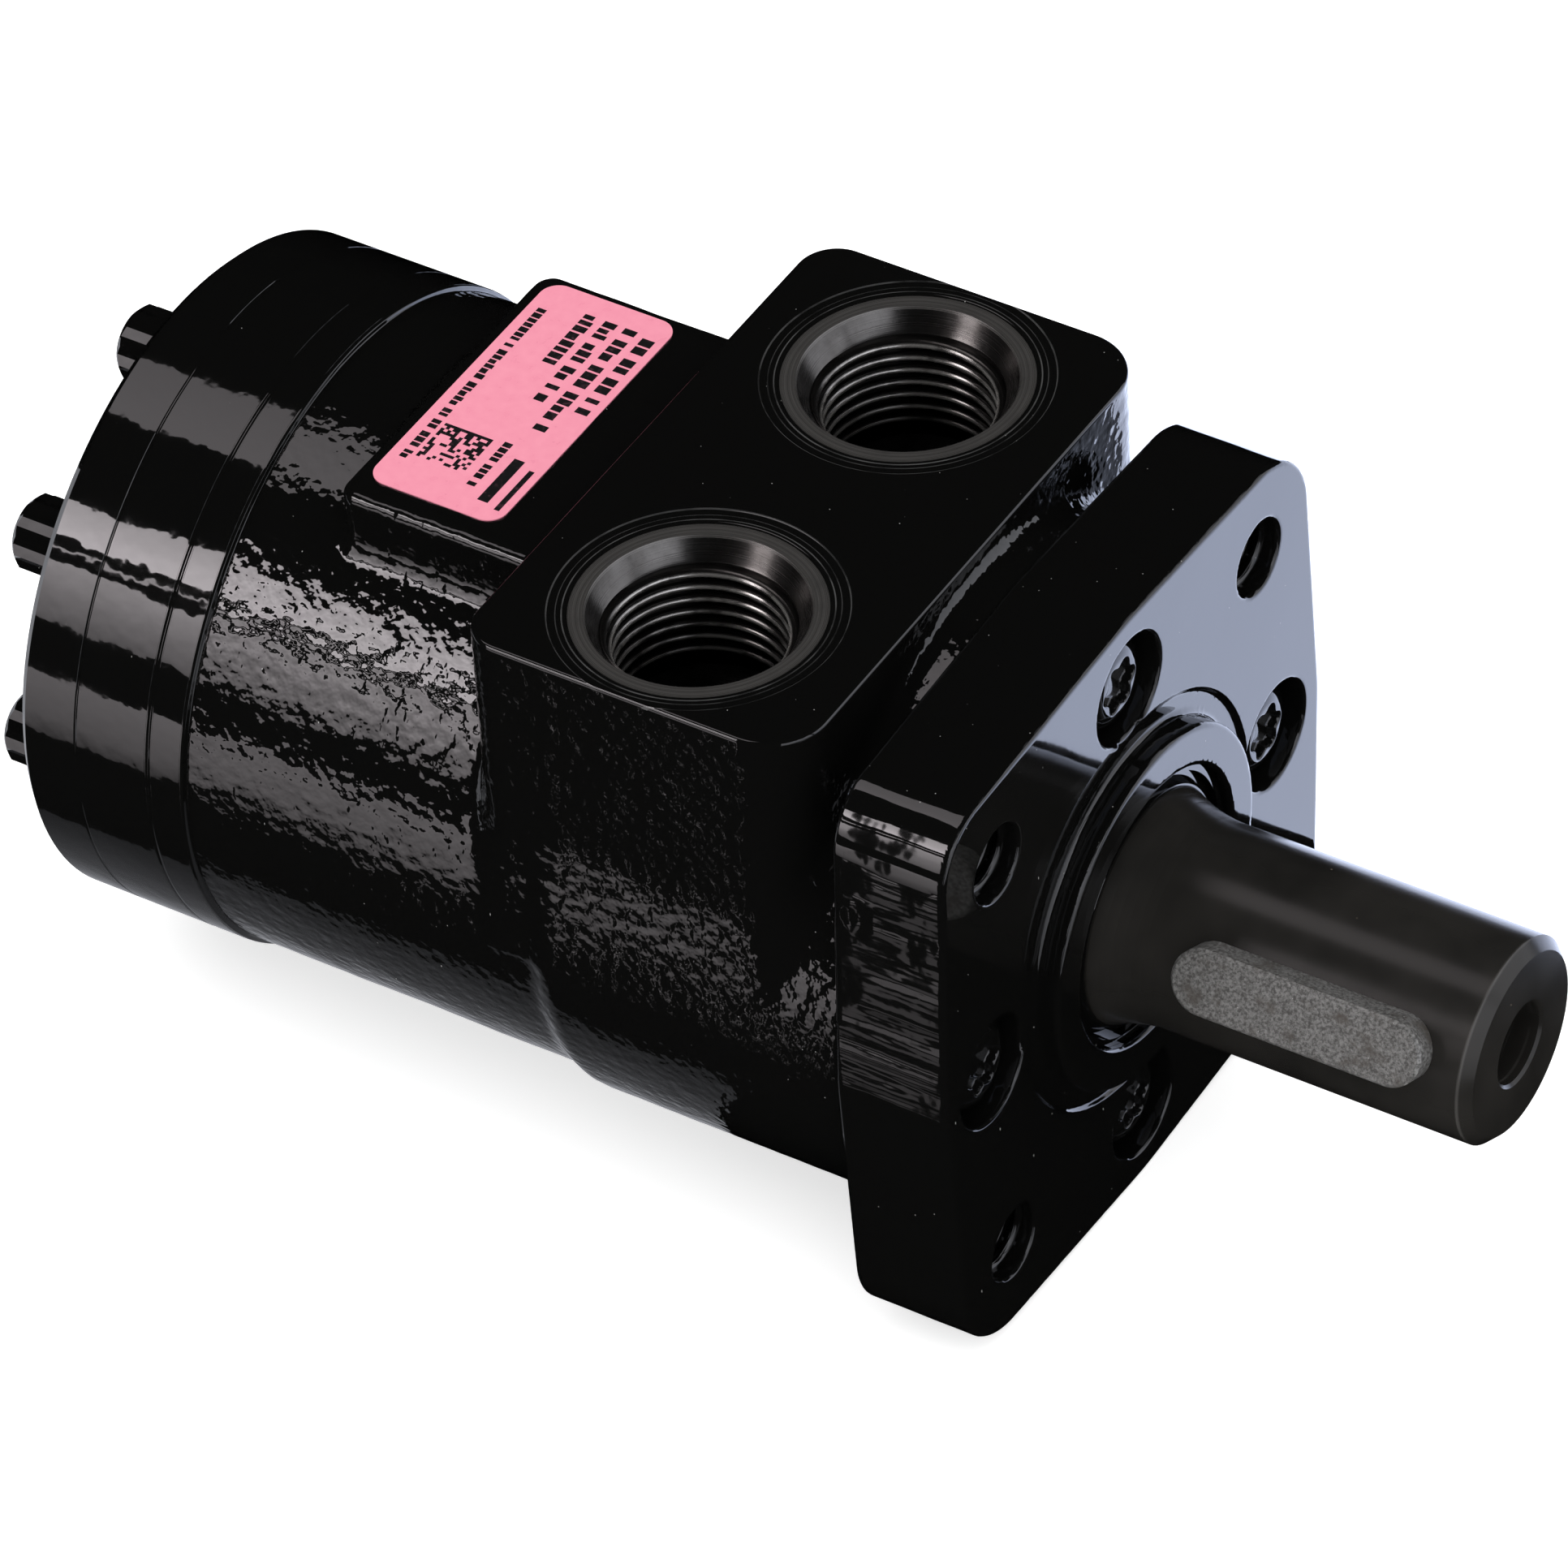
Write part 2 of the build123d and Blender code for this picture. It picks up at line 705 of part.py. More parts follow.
def shaft_seal():
    """Lip seal: a block in the cavity with a thin lip running on the seal land."""
    outer = seal_cavity_radius - slack
    return turned([
        (shaft_seal_rear_x, seal_body_inner_radius),
        (shaft_seal_rear_x, outer),
        (shaft_seal_front_x, outer),
        (shaft_seal_front_x, seal_throat_radius),
        (seal_throat_x, seal_throat_radius),
        (seal_lip_front_x, seal_lip_radius),
        (seal_lip_rear_x, seal_lip_radius),
        (seal_lip_back_x, seal_lip_back_radius),
        (seal_pocket_x, seal_body_inner_radius),
    ])


def backup_washer():
    return tube(backup_rear_x, backup_front_x, seal_cavity_radius - slack, flange_bore_radius)


def dust_seal():
    """Wiper ring in the mouth of the pilot, with a raised rim and a sloping lip."""
    outer = dust_seat_radius - slack
    inner = flange_bore_radius + 0.5
    face_x = dust_seal_front_x - dust_seal_face_drop
    return turned([
        (dust_seat_rear_x + slack, inner),
        (dust_seat_rear_x + slack, outer),
        (dust_seal_front_x, outer),
        (dust_seal_front_x, outer - dust_seal_rim_width),
        (face_x, outer - dust_seal_rim_width - slack),
        (face_x, dust_lip_foot_radius),
        (dust_seal_front_x, seal_lip_radius + dust_lip_width),
        (dust_seal_front_x, seal_lip_radius),
        (dust_seal_front_x - dust_lip_flat, seal_lip_radius),
        (dust_seal_front_x - dust_lip_slope, inner),
    ])


def ring_seal(front_x, radius):
    """Round-edged sealing ring filling its groove."""
    half = ring_seal_width / 2 - slack
    seal = tube(front_x - ring_seal_depth, front_x, radius + half, radius - half)
    return fillet(seal.edges(), seal_edge_radius)


# ---- screws ----------------------------------------------------------------
def six_lobe_socket(depth):
    socket = Circle(socket_core_radius)
    for angle in around(6):
        socket += Rot(0, 0, angle) * (Pos(socket_lobe_circle, 0) * Circle(socket_lobe_radius))
    return section_bar(socket, -depth, 0)


def front_screw():
    """Socket screw drawn with the top of its head at x = 0."""
    head_radius = front_screw_head_radius
    head_height = front_screw_head_height
    length = front_screw_length
    screw = turned([
        (-length, 0),
        (-length, screw_shank_radius - screw_tip_chamfer),
        (-length + screw_tip_chamfer, screw_shank_radius),
        (-head_height, screw_shank_radius),
        (-head_height, head_radius),
        (-screw_head_chamfer, head_radius),
        (0, head_radius - screw_head_chamfer),
        (0, 0),
    ])
    return screw - six_lobe_socket(front_screw_socket_depth)


def front_screws():
    top_x = -front_counterbore_depth + front_screw_head_height
    first = front_screw()
    placed = []
    for angle in around(4):
        y, z = on_circle(front_screw_circle_radius, angle)
        placed.append(Pos(top_x, y, z) * first)
    return Compound(placed)


def rear_screw():
    """Twelve-point screw drawn with the seat of its head at x = 0, tip towards +X."""
    hexagon = RegularPolygon(rear_screw_head_radius, 6)
    points = hexagon + Rot(0, 0, 30) * hexagon
    height = rear_screw_head_height
    head = section_bar(points, -height, 0)
    bevel = rear_screw_head_bevel
    head &= turned([
        (-height, 0),
        (-height, rear_screw_head_radius - bevel),
        (-height + bevel, rear_screw_head_radius + 0.01),
        (0, rear_screw_head_radius + 0.01),
        (0, 0),
    ])
    length = rear_screw_tip_x - end_cap_rear_x
    shank = turned([
        (0, 0),
        (0, screw_shank_radius),
        (length - screw_tip_chamfer, screw_shank_radius),
        (length, screw_shank_radius - screw_tip_chamfer),
        (length, 0),
    ])
    return head + shank


def rear_screws():
    first = rear_screw()
    placed = []
    for angle in around(rear_screw_count, rear_screw_first_angle):
        y, z = on_circle(rear_screw_circle_radius, angle)
        placed.append(Pos(end_cap_rear_x, y, z) * first)
    return Compound(placed)


# ---- label -----------------------------------------------------------------
def name_label():
    length = label_front_x - label_rear_x
    width = label_far_y - label_near_y
    middle = Pos((label_front_x + label_rear_x) / 2, (label_far_y + label_near_y) / 2, pad_top_z)
    plate = RectangleRounded(length, width, label_corner_radius)
    return middle * extrude(plate, amount=label_thickness)


write(housing(), "housing")
write(front_flange(), "front_flange")
write(end_cap(), "end_cap")
write(gerotor_ring(), "gerotor_ring")
write(gerotor_star(), "gerotor_star")
write(spacer_plate(), "spacer_plate")
write(output_shaft(), "output_shaft")
write(shaft_key(), "shaft_key")
write(drive_link(), "drive_link")
write(drive_spacer(), "drive_spacer")
write(thrust_race(), "thrust_race")
write(bearing_cage(), "bearing_cage")
write(thrust_needles(), "thrust_needles")
write(shaft_seal(), "shaft_seal")
write(backup_washer(), "backup_washer")
write(dust_seal(), "dust_seal")
write(ring_seal(flange_back_x, flange_seal_radius), "flange_seal")
write(ring_seal(housing_rear_x + ring_seal_depth, ring_seal_radius), "housing_seal")
write(ring_seal(spacer_rear_x + ring_seal_depth, ring_seal_radius), "spacer_seal")
write(ring_seal(ring_rear_x, ring_seal_radius), "end_cap_seal")
write(front_screws(), "flange_screws")
write(rear_screws(), "end_cap_screws")
write(name_label(), "name_label")
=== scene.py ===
import json
import math
import bpy
import bmesh
import numpy as np
from mathutils import Matrix, Vector, noise
from mathutils.bvhtree import BVHTree


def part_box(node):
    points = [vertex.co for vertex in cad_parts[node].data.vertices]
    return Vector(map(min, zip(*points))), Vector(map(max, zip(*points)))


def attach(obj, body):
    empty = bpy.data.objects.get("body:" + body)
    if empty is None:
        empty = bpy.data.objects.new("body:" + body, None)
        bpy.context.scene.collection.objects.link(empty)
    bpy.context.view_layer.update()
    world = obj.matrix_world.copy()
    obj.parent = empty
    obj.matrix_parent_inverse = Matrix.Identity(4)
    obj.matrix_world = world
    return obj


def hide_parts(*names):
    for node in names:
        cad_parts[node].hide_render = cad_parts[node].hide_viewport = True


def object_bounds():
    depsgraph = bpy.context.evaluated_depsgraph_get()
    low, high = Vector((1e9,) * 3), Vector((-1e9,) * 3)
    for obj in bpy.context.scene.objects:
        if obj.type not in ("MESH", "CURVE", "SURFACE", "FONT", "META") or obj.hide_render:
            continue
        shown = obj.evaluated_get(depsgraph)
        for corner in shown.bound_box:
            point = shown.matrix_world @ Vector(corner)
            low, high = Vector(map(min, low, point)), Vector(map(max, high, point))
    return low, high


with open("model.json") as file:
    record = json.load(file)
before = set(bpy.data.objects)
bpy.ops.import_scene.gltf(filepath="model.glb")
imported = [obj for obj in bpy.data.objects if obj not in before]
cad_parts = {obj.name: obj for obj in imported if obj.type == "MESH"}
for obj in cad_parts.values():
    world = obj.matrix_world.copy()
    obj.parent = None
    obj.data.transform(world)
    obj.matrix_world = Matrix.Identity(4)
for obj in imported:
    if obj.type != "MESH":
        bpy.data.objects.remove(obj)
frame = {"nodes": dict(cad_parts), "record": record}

# Hydraulic motor. Metres, in the row frame: +X along the shaft, +Z out of the ports,
# origin on the shaft axis in the plane of the mounting face.

CAD_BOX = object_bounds()
MM = 0.001
scene = bpy.context.scene
nodes = frame["nodes"]
mounts = {m["name"]: m for m in frame["record"]["mounts"]}


def mount_mm(name):
    """Place and sizes of a mount, in millimetres."""
    m = mounts[name]
    return Vector(m["pos_m"]) / MM, m["dims"]


def box_mm(node):
    low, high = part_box(node)
    return Vector(low) / MM, Vector(high) / MM


# ---- sizes, in millimetres ---------------------------------------------------
HOUSING_LOW, HOUSING_HIGH = box_mm("housing")
FLANGE_LOW, FLANGE_HIGH = box_mm("front_flange")
LABEL_LOW, LABEL_HIGH = box_mm("name_label")
PORT_A, PORT_DIMS = mount_mm("port_a")
PORT_B, _ = mount_mm("port_b")
PORT_THREAD_RADIUS = PORT_DIMS["r_mm"]
PORT_FACE_Z = HOUSING_HIGH.z
PAD_TOP_Z = LABEL_LOW.z
FRONT_BARREL_RADIUS = HOUSING_HIGH.y
REAR_BARREL_RADIUS = 40.1
BARREL_STEP = (-57.2, -52.8)
BARREL_EDGE = 0.5
BLOCK_X = (-63.6, -19.4)
BLOCK_HALF_WIDTH = 39.4
BLOCK_REAR_CORNER = 5.0
BLOCK_FRONT_CORNER = 7.5
BLOCK_EDGE = 0.5
PAD_REAR_X = -90.8
PAD_HALF_WIDTH = 22.3
PAD_CORNER = 2.5
PAD_EDGE = 1.2
CAST_FILLET = 2.4
PAD_FILLET = 1.5
SPOOL_BORE_RADIUS = 20.65
SCREW_HOLE_RADIUS = 3.98
FRONT_SCREW_CIRCLE = 32.0
FRONT_SCREW_HOLE_REAR_X = -32.4
REAR_SCREW_CIRCLE = 30.0
REAR_SCREW_HOLE_FRONT_X = -84.0
GALLERY_RADIUS = 24.6
GALLERY_HALF = 3.25
GALLERY_X = (-33.6, -50.2)
CHANNEL_RADIUS = 5.2
SPOTFACE = (17.04, 0.15)
PAINT_LIP_RADII = (15.9, 15.5, 14.9)
BARE_RING = (14.75, 0.3)
CONE_RADIUS = 12.9
CONE_DEPTH = 2.7
PORT_THREAD_DEPTH = 17.0
PORT_TIP_DEPTH = 20.5
PORT_PITCH = 25.4 / 14
MOUNT_PITCH = 25.4 / 16
SHAFT_CHAMFER_X = 48.12
PAD_OVERLAP = 8            # how far the pad runs on inside the block
CAST_VOXEL = 0.9
FLANGE_VOXEL = 0.95


# ---- mesh helpers --------------------------------------------------------------
def new_object(name, verts_mm, faces, material=None, smooth=True):
    mesh = bpy.data.meshes.new(name)
    mesh.from_pydata([tuple(c * MM for c in v) for v in verts_mm], [], faces)
    obj = bpy.data.objects.new(name, mesh)
    scene.collection.objects.link(obj)
    if material:
        mesh.materials.append(material)
    if smooth:
        mesh.shade_smooth()
    return obj


def set_sharp(obj, degrees=30):
    obj.data.shade_smooth()
    obj.data.set_sharp_from_angle(angle=math.radians(degrees))


def fix_normals(mesh):
    bm = bmesh.new()
    bm.from_mesh(mesh)
    bmesh.ops.recalc_face_normals(bm, faces=bm.faces)
    bm.to_mesh(mesh)
    bm.free()


def lathe(name, outline, steps, place, material=None):
    """Closed solid turned from (radius, height) points. A point of radius 0 becomes one vertex.
    place maps (across, up, height) to a position in millimetres."""
    verts, rows = [], []
    for radius, height in outline:
        if radius == 0:
            rows.append([len(verts)])
            verts.append(place(0, 0, height))
            continue
        rows.append(list(range(len(verts), len(verts) + steps)))
        for i in range(steps):
            a = 2 * math.pi * i / steps
            verts.append(place(radius * math.cos(a), radius * math.sin(a), height))
    faces = []
    closed = len(rows[0]) > 1
    pairs = zip(rows, rows[1:] + rows[:1]) if closed else zip(rows, rows[1:])
    for low, high in pairs:
        for i in range(steps):
            j = (i + 1) % steps
            if len(low) == 1:
                faces.append((low[0], high[j], high[i]))
            elif len(high) == 1:
                faces.append((low[i], low[j], high[0]))
            else:
                faces.append((low[i], low[j], high[j], high[i]))
    obj = new_object(name, verts, faces, material)
    fix_normals(obj.data)
    return obj


def up_at(x, y, z=0.0):
    """Places a lathe with its axis along +Z."""
    return lambda a, b, h: (x + a, y + b, z + h)


def along_x(y=0.0, z=0.0, x=0.0):
    """Places a lathe with its axis along +X."""
    return lambda a, b, h: (x + h, y + a, z + b)


def along(start, end):
    """Places a lathe with its axis on the line between two points."""
    start, end = Vector(start), Vector(end)
    turn = (end - start).to_track_quat("Z", "Y").to_matrix()
    return lambda a, b, h: tuple(start + turn @ Vector((a, b, h)))


def cylinder_outline(radius, low, high):
    return [(0, low), (radius, low), (radius, high), (0, high)]


def apply_modifiers(obj):
    """Replaces an object's mesh with the one its modifiers make."""
    depsgraph = bpy.context.evaluated_depsgraph_get()
    mesh = bpy.data.meshes.new_from_object(obj.evaluated_get(depsgraph))
    obj.modifiers.clear()
    old = obj.data
    obj.data = mesh
    bpy.data.meshes.remove(old)


def boolean(target, tool, operation):
    """Joins or cuts target with tool, which is used up."""
    modifier = target.modifiers.new("cut", "BOOLEAN")
    modifier.operation = operation
    modifier.solver = "EXACT"
    modifier.object = tool
    apply_modifiers(target)
    bpy.data.objects.remove(tool)


def even_mesh(obj, voxel):
    """Rebuilds a closed mesh from cells of that size in millimetres."""
    remesh = obj.modifiers.new("even", "REMESH")
    remesh.mode = "VOXEL"
    remesh.voxel_size = voxel * MM
    apply_modifiers(obj)


# ---- casting: distance to the outer surface --------------------------------------
def soft_union(a, b, radius):
    """Union of two distances with a concave fillet of that radius."""
    u = np.maximum(radius - a, 0)
    v = np.maximum(radius - b, 0)
    return np.maximum(radius, np.minimum(a, b)) - np.hypot(u, v)


def soft_common(a, b, radius):
    """Intersection of two distances with a rounded edge of that radius."""
    u = np.maximum(a + radius, 0)
    v = np.maximum(b + radius, 0)
    return np.minimum(-radius, np.maximum(a, b)) + np.hypot(u, v)


def rounded_rectangle(x, y, x_range, half_width, rear_radius, front_radius):
    """Signed distance in plan to a rectangle, with one corner radius at each end along X."""
    middle = sum(x_range) / 2
    half = (x_range[1] - x_range[0]) / 2
    radius = np.where(x < middle, rear_radius, front_radius)
    u = np.abs(x - middle) - half + radius
    v = np.abs(y) - half_width + radius
    outside = np.hypot(np.maximum(u, 0), np.maximum(v, 0))
    return outside + np.minimum(np.maximum(u, v), 0) - radius


def cast_distance(p):
    """Signed distance in millimetres from points to the casting's outer surface."""
    x, y, z = p[:, 0], p[:, 1], p[:, 2]
    t = np.clip((x - BARREL_STEP[0]) / (BARREL_STEP[1] - BARREL_STEP[0]), 0, 1)
    t = t * t * (3 - 2 * t)
    barrel = np.hypot(y, z) - REAR_BARREL_RADIUS - t * (FRONT_BARREL_RADIUS - REAR_BARREL_RADIUS)
    block = rounded_rectangle(x, y, BLOCK_X, BLOCK_HALF_WIDTH, BLOCK_REAR_CORNER, BLOCK_FRONT_CORNER)
    block = soft_common(block, z - PORT_FACE_Z, BLOCK_EDGE)
    block = np.maximum(block, -z)
    pad_x = (PAD_REAR_X, BLOCK_X[0] + PAD_OVERLAP)
    pad = rounded_rectangle(x, y, pad_x, PAD_HALF_WIDTH, PAD_CORNER, PAD_CORNER)
    pad = soft_common(pad, z - PAD_TOP_Z, PAD_EDGE)
    pad = np.maximum(pad, -z)
    whole = soft_union(barrel, pad, PAD_FILLET)
    whole = soft_union(whole, block, CAST_FILLET)
    ends = np.maximum(x - HOUSING_HIGH.x, HOUSING_LOW.x - x)
    return soft_common(whole, ends, BARREL_EDGE)


def slope(distance, p, step=0.02):
    """Direction of steepest rise of a distance function."""
    parts = []
    for axis in range(3):
        offset = np.zeros(3)
        offset[axis] = step
        parts.append((distance(p + offset) - distance(p - offset)) / (2 * step))
    grad = np.stack(parts, axis=1)
    return grad / np.maximum(np.linalg.norm(grad, axis=1, keepdims=True), 1e-6)


def smoothstep(value, low, high):
    t = np.clip((value - low) / (high - low), 0, 1)
    return t * t * (3 - 2 * t)


def fractal(points, wavelength, octaves, seed):
    """Smooth noise between about -1 and 1 with that wavelength in millimetres."""
    shift = Vector((seed * 17.3, seed * 5.1, seed * 9.7))
    return np.array([noise.fractal(Vector(p) / wavelength + shift, 1.0, 2.0, octaves) for p in points])


CAST_SWELL = 0.07          # height of slow swells left by the mould
CAST_LUMP = 0.035          # height of the broader lumps of the sand mould
CAST_LUMP_WAVE = 3.0
FLASH_X = (-24.4, -52.0)   # ragged mould lines down the sides of the port block
FLASH_HEIGHT = 0.22


def cast_relief(p, normal):
    """Height of the as-cast relief at each point: none on the machined faces."""
    x, y, z = p[:, 0], p[:, 1], p[:, 2]
    top = smoothstep(PORT_FACE_Z - z, 0.5, 2.0)
    ends = smoothstep(HOUSING_HIGH.x - x, 0.2, 2.0) * smoothstep(x - HOUSING_LOW.x, 0.2, 1.2)
    rough = 0.45 + 0.55 * smoothstep(BLOCK_X[1] - 8 - x, 0, 3)
    swell = fractal(p, 9.0, 2, 1) * CAST_SWELL
    lumps = fractal(p, CAST_LUMP_WAVE, 2, 2) * CAST_LUMP * rough
    height = (swell + lumps) * top * ends
    side = smoothstep(np.abs(normal[:, 1]), 0.9, 0.97) * smoothstep(z, 6, 12) * top
    for line_x in FLASH_X:
        ragged = fractal(p * np.array([0, 0, 1.0]), 2.2, 3, 3 + line_x)
        across = (x - line_x - 0.7 * ragged) / 0.45
        height += FLASH_HEIGHT * np.exp(-across * across) * side * (0.6 + 0.5 * ragged)
    return height


def box_mesh(x_range, half_width, z_range):
    (x0, x1), (z0, z1), w = x_range, z_range, half_width
    verts = [(x, y, z) for x in (x0, x1) for y in (-w, w) for z in (z0, z1)]
    faces = [(0, 1, 3, 2), (4, 6, 7, 5), (0, 4, 5, 1), (2, 3, 7, 6), (0, 2, 6, 4), (1, 5, 7, 3)]
    return verts, faces


# bends, in radians, over which the mesh is halved, round by round
EDGE_BENDS = (0.22, 0.3)
FLANGE_BENDS = (0.28, 0.38)


def read_points(mesh):
    flat = np.empty(len(mesh.vertices) * 3)
    mesh.vertices.foreach_get("co", flat)
    return flat.reshape(-1, 3) / MM


def write_points(mesh, p):
    mesh.vertices.foreach_set("co", (p * MM).ravel())
    mesh.update()


DRAW_ROUNDS = 4


def draw_on(mesh, distance, hidden=None):
    """Moves the vertices onto the surface where distance is zero, apart from hidden ones.
    Returns all of them in millimetres."""
    p = read_points(mesh)
    free = np.ones(len(p), dtype=bool) if hidden is None else ~hidden(p)
    q = p[free]
    for _ in range(DRAW_ROUNDS):
        q -= slope(distance, q) * np.clip(distance(q), -1.0, 1.0)[:, None]
    p[free] = q
    write_points(mesh, p)
    return p


def refine(mesh, bend, hidden=None):
    """Halves the faces beside every edge that bends by more than that many radians."""
    bm = bmesh.new()
    bm.from_mesh(mesh)
    bm.verts.ensure_lookup_table()
    skip = hidden(read_points(mesh)) if hidden else np.zeros(len(bm.verts), dtype=bool)
    faces = {f for e in bm.edges if e.calc_face_angle(0) > bend and not skip[e.verts[0].index]
             for f in e.link_faces}
    edges = list({e for f in faces for e in f.edges})
    bmesh.ops.subdivide_edges(bm, edges=edges, cuts=1, use_grid_fill=True)
    bm.to_mesh(mesh)
    bm.free()


def casting_blank(voxel):
    """Evenly meshed blank of the barrel, block and pad, drawn onto the exact surface."""
    start = lathe("housing_casting", [
        (0, HOUSING_LOW.x), (REAR_BARREL_RADIUS, HOUSING_LOW.x),
        (REAR_BARREL_RADIUS, BARREL_STEP[0]), (FRONT_BARREL_RADIUS, BARREL_STEP[1]),
        (FRONT_BARREL_RADIUS, HOUSING_HIGH.x), (0, HOUSING_HIGH.x)], 96, along_x())
    parts = [box_mesh(BLOCK_X, BLOCK_HALF_WIDTH, (1, PORT_FACE_Z)),
             box_mesh((PAD_REAR_X, BLOCK_X[0] + 6), PAD_HALF_WIDTH, (1, PAD_TOP_Z))]
    bm = bmesh.new()
    bm.from_mesh(start.data)
    for verts, faces in parts:
        made = [bm.verts.new([c * MM for c in v]) for v in verts]
        for face in faces:
            bm.faces.new([made[i] for i in face])
    bmesh.ops.recalc_face_normals(bm, faces=bm.faces)
    bm.to_mesh(start.data)
    bm.free()
    even_mesh(start, voxel)
    p = draw_on(start.data, cast_distance)
    for bend in EDGE_BENDS:
        refine(start.data, bend)
        p = draw_on(start.data, cast_distance)
    normal = slope(cast_distance, p)
    p += normal * cast_relief(p, normal)[:, None]
    write_points(start.data, p)
    return start


def port_outline():
    """Port cavity as (radius, height) below the port face, with a rolled paint lip."""
    lip_out, lip_top, lip_in = PAINT_LIP_RADII
    step, bare = SPOTFACE[1], BARE_RING[1]
    return [
        (0, 1.0), (SPOTFACE[0] + 0.05, 1.0), (SPOTFACE[0], -step * 0.5), (SPOTFACE[0] - 0.16, -step),
        (lip_out + 0.25, -step), (lip_out, -step + 0.05), (lip_out - 0.15, -step + 0.05),
        (lip_top, -step - 0.04), (lip_in + 0.25, -step + 0.02), (lip_in, -step),
        (BARE_RING[0] + 0.05, -step - 0.06), (BARE_RING[0] - 0.08, -bare),
        (CONE_RADIUS, -bare), (CONE_RADIUS - 0.2, -bare - 0.3),
        (PORT_THREAD_RADIUS + 0.25, -CONE_DEPTH), (PORT_THREAD_RADIUS, -CONE_DEPTH - 0.25),
        (PORT_THREAD_RADIUS, -PORT_THREAD_DEPTH), (0, -PORT_TIP_DEPTH)]


def casting_hollows():
    """One solid for every opening cut into the casting."""
    low, high = HOUSING_LOW.x - 1, HOUSING_HIGH.x + 1
    bore = [(0, low), (SPOOL_BORE_RADIUS, low)]
    for middle in sorted(GALLERY_X):
        bore += [(SPOOL_BORE_RADIUS, middle - GALLERY_HALF), (GALLERY_RADIUS, middle - GALLERY_HALF),
                 (GALLERY_RADIUS, middle + GALLERY_HALF), (SPOOL_BORE_RADIUS, middle + GALLERY_HALF)]
    bore += [(SPOOL_BORE_RADIUS, high), (0, high)]
    hollow = lathe("hollow", bore, 128, along_x())
    for port, gallery_x in ((PORT_A, GALLERY_X[0]), (PORT_B, GALLERY_X[1])):
        side = math.copysign(1, port.y)
        top = (port.x, port.y - side * 1.5, PORT_FACE_Z - PORT_THREAD_DEPTH)
        bottom = (gallery_x, side * (SPOOL_BORE_RADIUS - 5), 10.0)
        length = (Vector(top) - Vector(bottom)).length
        channel = lathe("channel", cylinder_outline(CHANNEL_RADIUS, 0, length), 48, along(bottom, top))
        boolean(hollow, channel, "UNION")
        cavity = lathe("cavity", port_outline(), 160, up_at(port.x, port.y, PORT_FACE_Z))
        boolean(hollow, cavity, "UNION")
    return hollow


def screw_hollows():
    """One object with a cylinder for every screw hole in the casting."""
    bm = bmesh.new()
    sets = ((4, 0, FRONT_SCREW_CIRCLE, FRONT_SCREW_HOLE_REAR_X, HOUSING_HIGH.x + 1),
            (7, math.pi / 2, REAR_SCREW_CIRCLE, HOUSING_LOW.x - 1, REAR_SCREW_HOLE_FRONT_X))
    for count, first, circle, low, high in sets:
        for i in range(count):
            a = first + 2 * math.pi * i / count
            place = along_x(circle * math.cos(a), circle * math.sin(a))
            hole = lathe("hole", cylinder_outline(SCREW_HOLE_RADIUS, low, high), 32, place)
            bm.from_mesh(hole.data)
            bpy.data.objects.remove(hole)
    mesh = bpy.data.meshes.new("holes")
    bm.to_mesh(mesh)
    bm.free()
    obj = bpy.data.objects.new("holes", mesh)
    scene.collection.objects.link(obj)
    return obj


def ridge(name, axis_place, radius, depth, pitch, low, high, material, steps=56):
    """Helical thread ridge standing inwards from a bore wall, tapering out at both ends."""
    turns = (high - low - pitch) / pitch
    count = int(turns * steps)
    # (outwards in millimetres, along the axis in pitches), from the root in the wall to the crest
    section = ((0.06, -0.46), (-0.6 * depth, -0.22), (-depth, -0.09), (-depth, 0.09),
               (-0.6 * depth, 0.22), (0.06, 0.46))
    verts, faces = [], []
    for i in range(count + 1):
        a = 2 * math.pi * i / steps
        h = low + pitch / 2 + pitch * i / steps
        grow = min(1.0, 0.12 + 4.0 * i / steps, 0.12 + 4.0 * (count - i) / steps)
        for inward, across in section:
            r = radius + (inward if inward > 0 else inward * grow)
            spread = across * pitch * (1.0 if inward > 0 else grow)
            verts.append(axis_place(r * math.cos(a), r * math.sin(a), h + spread))
    rim = len(section)
    for i in range(count):
        for k in range(rim):
            a, b = i * rim + k, i * rim + (k + 1) % rim
            faces.append((a, b, b + rim, a + rim))
    faces += [tuple(reversed(range(rim))), tuple(count * rim + k for k in range(rim))]
    obj = new_object(name, verts, faces, material)
    fix_normals(obj.data)
    return obj


